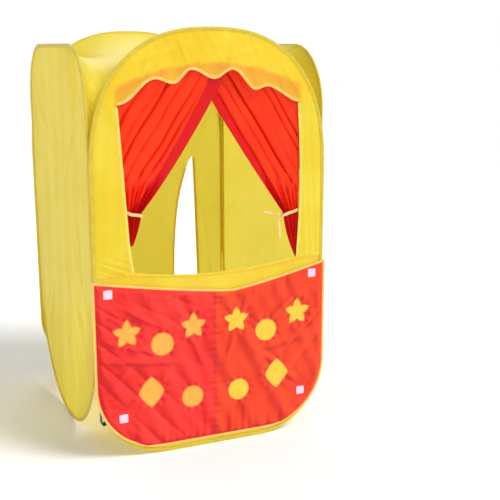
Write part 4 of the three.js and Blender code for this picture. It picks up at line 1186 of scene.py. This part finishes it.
x = np.linspace(crease_at(FLAP_FOOT) + 0.012, flap_edge(FLAP_FOOT), 140)[:-1]
x, z = np.concatenate([x, flap_edge(z)]), np.concatenate([0 * x + FLAP_FOOT, z])
piping("door_flap_tape", points(-x, z, flap_lift(x, z))[::-1], "back", "door_flap", WINDOW_TAPE, "binding_tape",
       "door_flap_hem", 23.0)
for used in (SLEEVE_PROFILE, PIPING_PROFILE, SIGN_PROFILE):
    bpy.data.objects.remove(used)
print("piping: scallops, window, sill, sign and door flap")

# %% [markdown]
# The slit and the strip under the door have turned hems of the same cloth. Flat bands like these, and the
# ribbons, are a rounded strip carried along a path.

# %% Bands, and the hems of the back wall
BAND_SECTION = [(1, 0), (0.94, 1), (0.4, 1.05), (-0.4, 1.05), (-0.94, 1), (-1, 0), (-0.94, -1), (-0.4, -1.05),
                (0.4, -1.05), (0.94, -1)]


def skinned(name, rings, material, closed=False):
    """A skin over rings of points, with a cap on each end of an open row."""
    at = np.arange(rings.shape[0] * rings.shape[1]).reshape(rings.shape[:2])
    ahead = np.roll(at, -1, 0)
    quads = np.stack([at, ahead, np.roll(ahead, -1, 1), np.roll(at, -1, 1)], -1)
    faces = quads[:len(at) if closed else -1].reshape(-1, 4).tolist()
    if not closed:
        faces += [at[0].tolist(), at[-1, ::-1].tolist()]
    mesh = bpy.data.meshes.new(name)
    mesh.from_pydata(rings.reshape(-1, 3).tolist(), [], faces)
    shaped = bmesh.new()
    shaped.from_mesh(mesh)
    bmesh.ops.recalc_face_normals(shaped, faces=shaped.faces)
    for face in shaped.faces:
        face.smooth = len(face.verts) == 4
    shaped.to_mesh(mesh)
    shaped.free()
    mesh.materials.append(material)
    return added(name, mesh)


def band(name, path, wide, half_wide, half_thick, material, closed=False):
    """A flat band along a path. wide is the direction across it at each point."""
    ahead = np.roll(path, -1, 0) - np.roll(path, 1, 0)
    if not closed:
        ahead[0], ahead[-1] = path[1] - path[0], path[-1] - path[-2]
    ahead = unit(ahead)
    wide = unit(wide - ahead * (wide * ahead).sum(1, keepdims=True))
    across = wide * np.broadcast_to(half_wide, len(path))[:, None]
    through = np.cross(ahead, wide) * half_thick
    return skinned(name, np.stack([path + across * a + through * b for a, b in BAND_SECTION], 1), material, closed)


def back_hem(name, x, z, wide):
    path = points(x, BACK_Y + back_lift(x, z) + 0.0009, z)
    dress(band(name, path, np.array(wide), TIE_HALF, BAND_THIN, DOOR_HEM), "back_wall", "yellow_cloth")


z = np.linspace(DOOR_FOOT + 0.006, DOOR_TOP - 0.004, 180)
back_hem("slit_hem", slit_at(z) + 0.0048, z, (1, 0, 0))
x = np.linspace(-0.262, 0.252, 160)
back_hem("door_foot_hem", x, 0 * x + 0.0896, (0, 0, 1))
print("back wall: slit hem and foot hem")

# %% [markdown]
# Each curtain is held by a ribbon. The right one is knotted at the curtain's leading edge, and its two ends hang
# free: one drifts out over the window, the other drops. The ends follow the route that they take in the imported
# model, listed here as points in millimetres from the knot, and the ribbon turns a little as it hangs.

# %% Tie ribbons, their knot and two loose ends
KNOT = np.array([0.20770, FRONT_Y + 0.0064, 0.672])
TAILS = [
    ("side", "loose", 0.0038, [(-5.8, 0), (-14, 1), (-23, 3), (-32, 6), (-42, 9), (-52, 11)]),
    ("down", "hanging", 0.0040, [(0, -5.8), (-0.6, -16), (0.4, -27), (3, -38), (4.2, -49), (3.4, -60), (4.4, -71)]),
]


def tie_ribbon(name, side):
    c = CURTAIN[side]
    turn = np.linspace(0, 2 * np.pi, 120, endpoint=False)
    across, deep = round_power(turn, 2 / 3)
    middle, half = (c["outer_waist"] + c["lead_waist"]) / 2, (c["outer_waist"] - c["lead_waist"]) / 2 + 0.0022
    wave = 0.0006 * np.sin(turn + 1 + side) + 0.0004 * np.sin(5 * turn + 1 + side)
    path = points(side * middle + half * across, CURTAIN_REST + 0.0061 + 0.0065 * deep,
                  c["waist"] + c["tie_up"] + c["tie_lean"] * np.cos(turn) + wave)
    ribbon = band(f"tie_ribbon_{name}", path, np.array((0, 0, 1)), TIE_HALF, BAND_THIN, RIBBON, closed=True)
    dress(ribbon, "front", "tie_tape", f"tie_{name}")
    flatten(ribbon)


def smooth_route(route, count=28):
    """A rounded route through points, by a Catmull-Rom curve."""
    p = np.array(route, float)
    p = np.concatenate([[2 * p[0] - p[1]], p, [2 * p[-1] - p[-2]]])
    line = []
    for i in range(1, len(p) - 2):
        before, here, after, beyond = p[i - 1:i + 3]
        for t in np.linspace(0, 1, 8, endpoint=i == len(p) - 3):
            line.append(0.5 * (2 * here + (after - before) * t + (2 * before - 5 * here + 4 * after - beyond) * t * t
                               + (3 * here - before - 3 * after + beyond) * t ** 3))
    return evenly(np.array(line), count)[0]


def tie_tail(way, lay, half_wide, route):
    flat = smooth_route(route) / 1000
    share = np.linspace(0, 1, len(flat))
    path = points(KNOT[0] + flat[:, 0], KNOT[1], KNOT[2] + flat[:, 1])
    turn = (0.5 + 0.9 * eased(share * 1.4) + 0.25 * np.sin(5 * share))[:, None]
    aside = np.cross(unit(np.gradient(path, axis=0)), (0, 1, 0))
    tail = band(f"tie_ribbon_{way}", path, np.cos(turn) * (0, 1, 0) + np.sin(turn) * aside,
                half_wide * (0.8 + 0.2 * eased(share * 3)), BAND_THIN, RIBBON)
    dress(tail, "front", "tie_tape", f"tie_tail_{way}")


def knot(name):
    """A ribbon knot: a crushed ball with the turns of the ribbon running over it."""
    ball = bmesh.new()
    bmesh.ops.create_icosphere(ball, subdivisions=5, radius=1)
    for vert in ball.verts:
        x, y, z = vert.co
        swirl = math.atan2(z + 0.25 * y, x)
        turns = 0.5 + 0.5 * math.cos(3 * swirl + 2.2 * y)
        crease = abs(math.sin(1.5 * (x + 0.8 * z))) ** 0.35
        reach = 0.0042 + 0.0012 * turns + 0.0011 * crease
        vert.co = Vector((x * reach * 1.05, y * reach * 1.1, z * reach * 0.92)) + Vector(KNOT)
    for face in ball.faces:
        face.smooth = True
    mesh = bpy.data.meshes.new(name)
    ball.to_mesh(mesh)
    ball.free()
    mesh.materials.append(RIBBON)
    dress(added(name, mesh), "front", "tie_tape", "tie_knot")


for side, name in SIDES:
    tie_ribbon(name, side)
for tail in TAILS:
    tie_tail(*tail)
knot("tie_ribbon_knot")
print("ties: two ribbons, one knot")

# %% [markdown]
# A loop of black elastic webbing hangs inside the front left corner. It goes round the booth once the hoops
# are twisted flat. Its two top ends are sewn to the sleeve.

# %% Storage strap
low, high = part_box("storage_strap")
middle, span = (low.x + high.x) / 2, (high.x - low.x) / 2 - 0.0008
half = (high.y - low.y) / 2
turn = np.linspace(math.pi, 2 * math.pi, 24)
bend = np.stack([span * np.cos(turn), low.z + 0.0008 + span * (1 + np.sin(turn))], -1)
up = np.linspace(high.z, bend[0, 1], 60)[:-1]
left = np.stack([0.0006 * np.sin(np.linspace(0, 3 * np.pi, len(up))) - span, up], -1)
flat = np.concatenate([left, bend, left[::-1] * [-1, 1]])
path = points(middle + flat[:, 0], (low.y + high.y) / 2, flat[:, 1])
strap = band("storage_webbing", path, np.array((0, 1, 0)), half, 0.00065, WEBBING)
dress(strap, "front", "black_webbing", "storage_strap")
flatten(strap)
print(f"strap: {2 * half * 1000:.0f} mm wide, {length_of(path) * 1000:.0f} mm long")

# %% [markdown]
# Squares of hook-and-loop hold the sign, and four more on its face take another sign. A real square has
# rounded corners, a sewn border that sinks a little, and a field of loops inside it.

# %% Loop squares on the sign's face
def loop_square(name, at_x, at_z):
    low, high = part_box(f"sign_face_{name}")
    u, v = np.meshgrid(np.linspace(-1, 1, 41), np.linspace(-1, 1, 41))
    half = 0.013 * (1 - 0.06 * (u * v) ** 4)
    rim = 1 - np.maximum(np.abs(u), np.abs(v))
    sunk = np.exp(-((rim - 0.16) / 0.045) ** 2)
    rise = (high.y - low.y) * (eased(rim / 0.08) - 0.35 * sunk) + 0.00012 * ripple(u + 3 * v, 0.06, 121)
    piece = cloth(f"sign_loops_{name}", at_x + half * u, high.y - rise, at_z + half * v, PATCH_PILE, (0, -1, 0))
    dress(piece, "sign", "patch_pile", f"sign_face_{name}")


for name, place in PATCHES.items():
    loop_square(f"patch_{name}", *place)
    for kind in ("hook_patch", "sign_back_patch"):
        bpy.data.objects[f"{kind}_{name}"].data.materials[0] = PATCH_PILE
print("patches: four sewn squares on the sign's face, eight plain ones behind it")

# %% [markdown]
# The sign of the real booth carries a title in felt. This one stays free of words: stars, discs and diamonds
# of the same felt, at the same scale and colours, fill the same field. Each is laid on the sign's surface with a
# soft raised edge, and a satin-stitched border holds it down.

# %% Felt shapes
FELT_THICK = 0.0012
FELT_SHARES = np.array([1.0, 1.0, 0.985, 0.95, *np.linspace(0.9, 0.02, 16)])[:, None]
FELT_RISES = np.array([0.0, 0.0007, 0.0011] + [FELT_THICK] * 17)[:, None]


def motif_outline(kind, size, count):
    turn = np.linspace(0, 2 * np.pi, count, endpoint=False)
    c, s = np.cos(turn), np.sin(turn)
    if kind == "diamond":
        size = size / (np.abs(c) ** 1.25 + (np.abs(s) * 0.95) ** 1.25) ** 0.8
        c = 0.86 * c
    elif kind == "star":
        wave = np.abs(((turn - np.pi / 2) * 5 / (2 * np.pi)) % 1 - 0.5) * 2
        size = size * (0.50 + 0.50 * (0.15 + 0.85 * wave) ** 1.25)
    return np.stack([size * c, size * s], -1)


def felt_shape(name, kind, at_x, at_z, size):
    outline = motif_outline(kind, size, 180)
    outline = np.concatenate([outline, outline[:1]])
    x, z = at_x + outline[:, 0] * FELT_SHARES, at_z + outline[:, 1] * FELT_SHARES
    felt, below = (FELT_ORANGE, "sign_cloth_left") if at_x < 0 else (FELT_YELLOW, "sign_cloth_right")
    shape = cloth(name, x, SIGN_Y - sign_lift(x, z) - FELT_RISES, z, felt, (0, -1, 0))
    dress(shape, "sign", "pale_tape")
    rim = motif_outline(kind, size + 0.0006, 240)
    x, z = at_x + rim[:, 0], at_z + rim[:, 1]
    path = points(x, SIGN_Y - sign_lift(x, z) - 0.0006, z)
    border = band(f"{name}_border", path, points(rim[:, 0], 0, rim[:, 1]), 0.0016, 0.0006, FELT_RIM, closed=True)
    dress(border, "sign", "pale_tape")


for number, (kind, *about) in enumerate(MOTIFS, 1):
    felt_shape(f"felt_{kind}_{number}", kind, *about)
print("felt:", len(MOTIFS), "shapes with satin borders")

# %% [markdown]
# Thread is the smallest thing the eye can still find. A second tree walks along each sewn line and sets one
# short stitch after another, each a rounded bar lying along the line. One mesh is made for each body and thread.

# %% Stitches
def stitch_tree():
    tree, given = new_tree("stitches", Pitch="Float", Stitch="Float", Thread="Float", Material="Material")
    places = resampled(tree, given["Geometry"], given["Pitch"])
    bar = step(tree, "GeometryNodeMeshCylinder", {"Vertices": 6, "Radius": given["Thread"], "Depth": given["Stitch"]})
    ahead = step(tree, "GeometryNodeInputTangent")
    lie = step(tree, "FunctionNodeAlignRotationToVector", {"Vector": ahead.outputs[0]}, axis="Z")
    sewn = step(tree, "GeometryNodeInstanceOnPoints", {"Points": places.outputs[0], "Instance": bar.outputs["Mesh"],
                                                       "Rotation": lie.outputs[0]})
    return ended(tree, sewn.outputs[0], given["Material"])


STITCH_TREE = stitch_tree()
STITCH_LONG, THREAD_HALF = 0.0024, 0.00032
STITCH_IN, STITCH_UP = 0.0034, 0.0015


def stitches(name, lines, body, thread, slot, closed=False, pitch=0.0034):
    piece = grown(line_mesh(name, lines, closed), STITCH_TREE, Pitch=pitch, Stitch=STITCH_LONG, Thread=THREAD_HALF,
                  Material=thread)
    dress(piece, body, slot)
    print(name, len(piece.data.polygons) // 8, "stitches")


def placed(plane, x, z, out):
    """Points drawn on a plane, at a height above it, in the booth's own frame."""
    matrix = np.array(PLANES[plane])
    return points(x, z, out) @ matrix[:3, :3].T + matrix[:3, 3]


for name, loop, body in HOOPS:
    pair = [placed(name, *inset(loop, 0.0062).T, out) for out in (0.0025, -0.0025)]
    stitches(f"{name}_sleeve_stitches", pair, body, YELLOW_THREAD, "binding_tape", closed=True)
lines = []
for side in (-1, 1):
    z = np.linspace(STRIP_FOOT + 0.002, ARCH_SEAM - 0.003, 260)
    x = window_edge(side, z)
    lines.append(placed("front", x + side * STITCH_IN, z, strip_lift(side, x, z) + STITCH_UP))
x = np.linspace(-0.334, 0.334, 500)
lines.append(placed("front", x, sill(x) - STITCH_IN, lower_lift(x, sill(x)) + STITCH_UP))
stitches("window_stitches", lines, "front", YELLOW_THREAD, "binding_tape")
x = np.linspace(-0.262, 0.265, 500)
lines = [placed("front", x, scallop(x) + STITCH_IN, arch_lift(x, scallop(x)) + STITCH_UP)]
stitches("scallop_stitches", lines, "front", PALE_THREAD, "pale_tape")
stitches("sign_stitches", [placed("sign", *inset(sign_rim(), 0.0042).T, 0.0016)], "sign", PALE_THREAD, "pale_tape",
         closed=True)
z = np.linspace(SIGN_FOOT + 0.008, float(sign_top(np.array(0.0))) - 0.008, 300)
lines = [placed("sign", off, z, sign_lift(0 * z + off, z) + 0.0002) for off in (-0.0022, 0.0022)]
stitches("sign_seam_stitches", lines, "sign", RED_THREAD, "sign_red")
face = SIGN_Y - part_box("sign_face_patch_top_left")[0].y - 0.0004
ring = [np.interp(np.linspace(0, 4, 80), range(5), corners) for corners in ((-1, 1, 1, -1, -1), (-1, -1, 1, 1, -1))]
squares = [placed("sign", x + 0.0109 * ring[0], z + 0.0109 * ring[1], face) for x, z in PATCHES.values()]
stitches("patch_stitches", squares, "sign", PATCH_THREAD, "patch_pile", pitch=0.0028)

# %% [markdown]
# At each corner a bead of cloth closes the gap between an arched hoop and a side hoop. It is the booth's hinge, so
# it stays on the fold's axis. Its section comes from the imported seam, and a small pucker runs up it.

# %% The four upright seams
def upright_seam(name, side, tip, body):
    low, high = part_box(f"{name}_seam")
    heights = np.concatenate([np.linspace(low.z, high.z, 240), np.linspace(high.z, high.z + tip, 40)[1:]])[:, None]
    thin = 1 - 0.25 * eased((heights - high.z) / 0.018) + 0.05 * ripple(heights, 0.012, 131)
    across, deep = round_power(np.linspace(0, 2 * np.pi, 18, endpoint=False), 0.8)
    x = side * LOOP_HALF + (high.x - low.x) / 2 * thin * across
    y = (low.y + high.y) / 2 + (high.y - low.y) / 2 * thin * deep
    bead = skinned(f"{name}_corner_cloth", points(x, y, heights), SLEEVE_TAPE)
    dress(bead, body, "binding_tape", f"{name}_seam")


for place, tip, body in (("front", 0.018, "front"), ("back", 0.110, "back_wall")):
    for side, name in SIDES:
        upright_seam(f"{place}_{name}", side, tip, body)
print("corners: four upright seams")

# %% [markdown]
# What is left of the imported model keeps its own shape: the flat spring wires inside the sleeves, and the crimped
# ferrules that close them.

# %% Finish for the parts that stay
for name, *_ in HOOPS:
    for kind in ("wire", "ferrule"):
        bpy.data.objects[f"{name}_{kind}"].data.materials[0] = STEEL
print("kept: four wires and four ferrules")
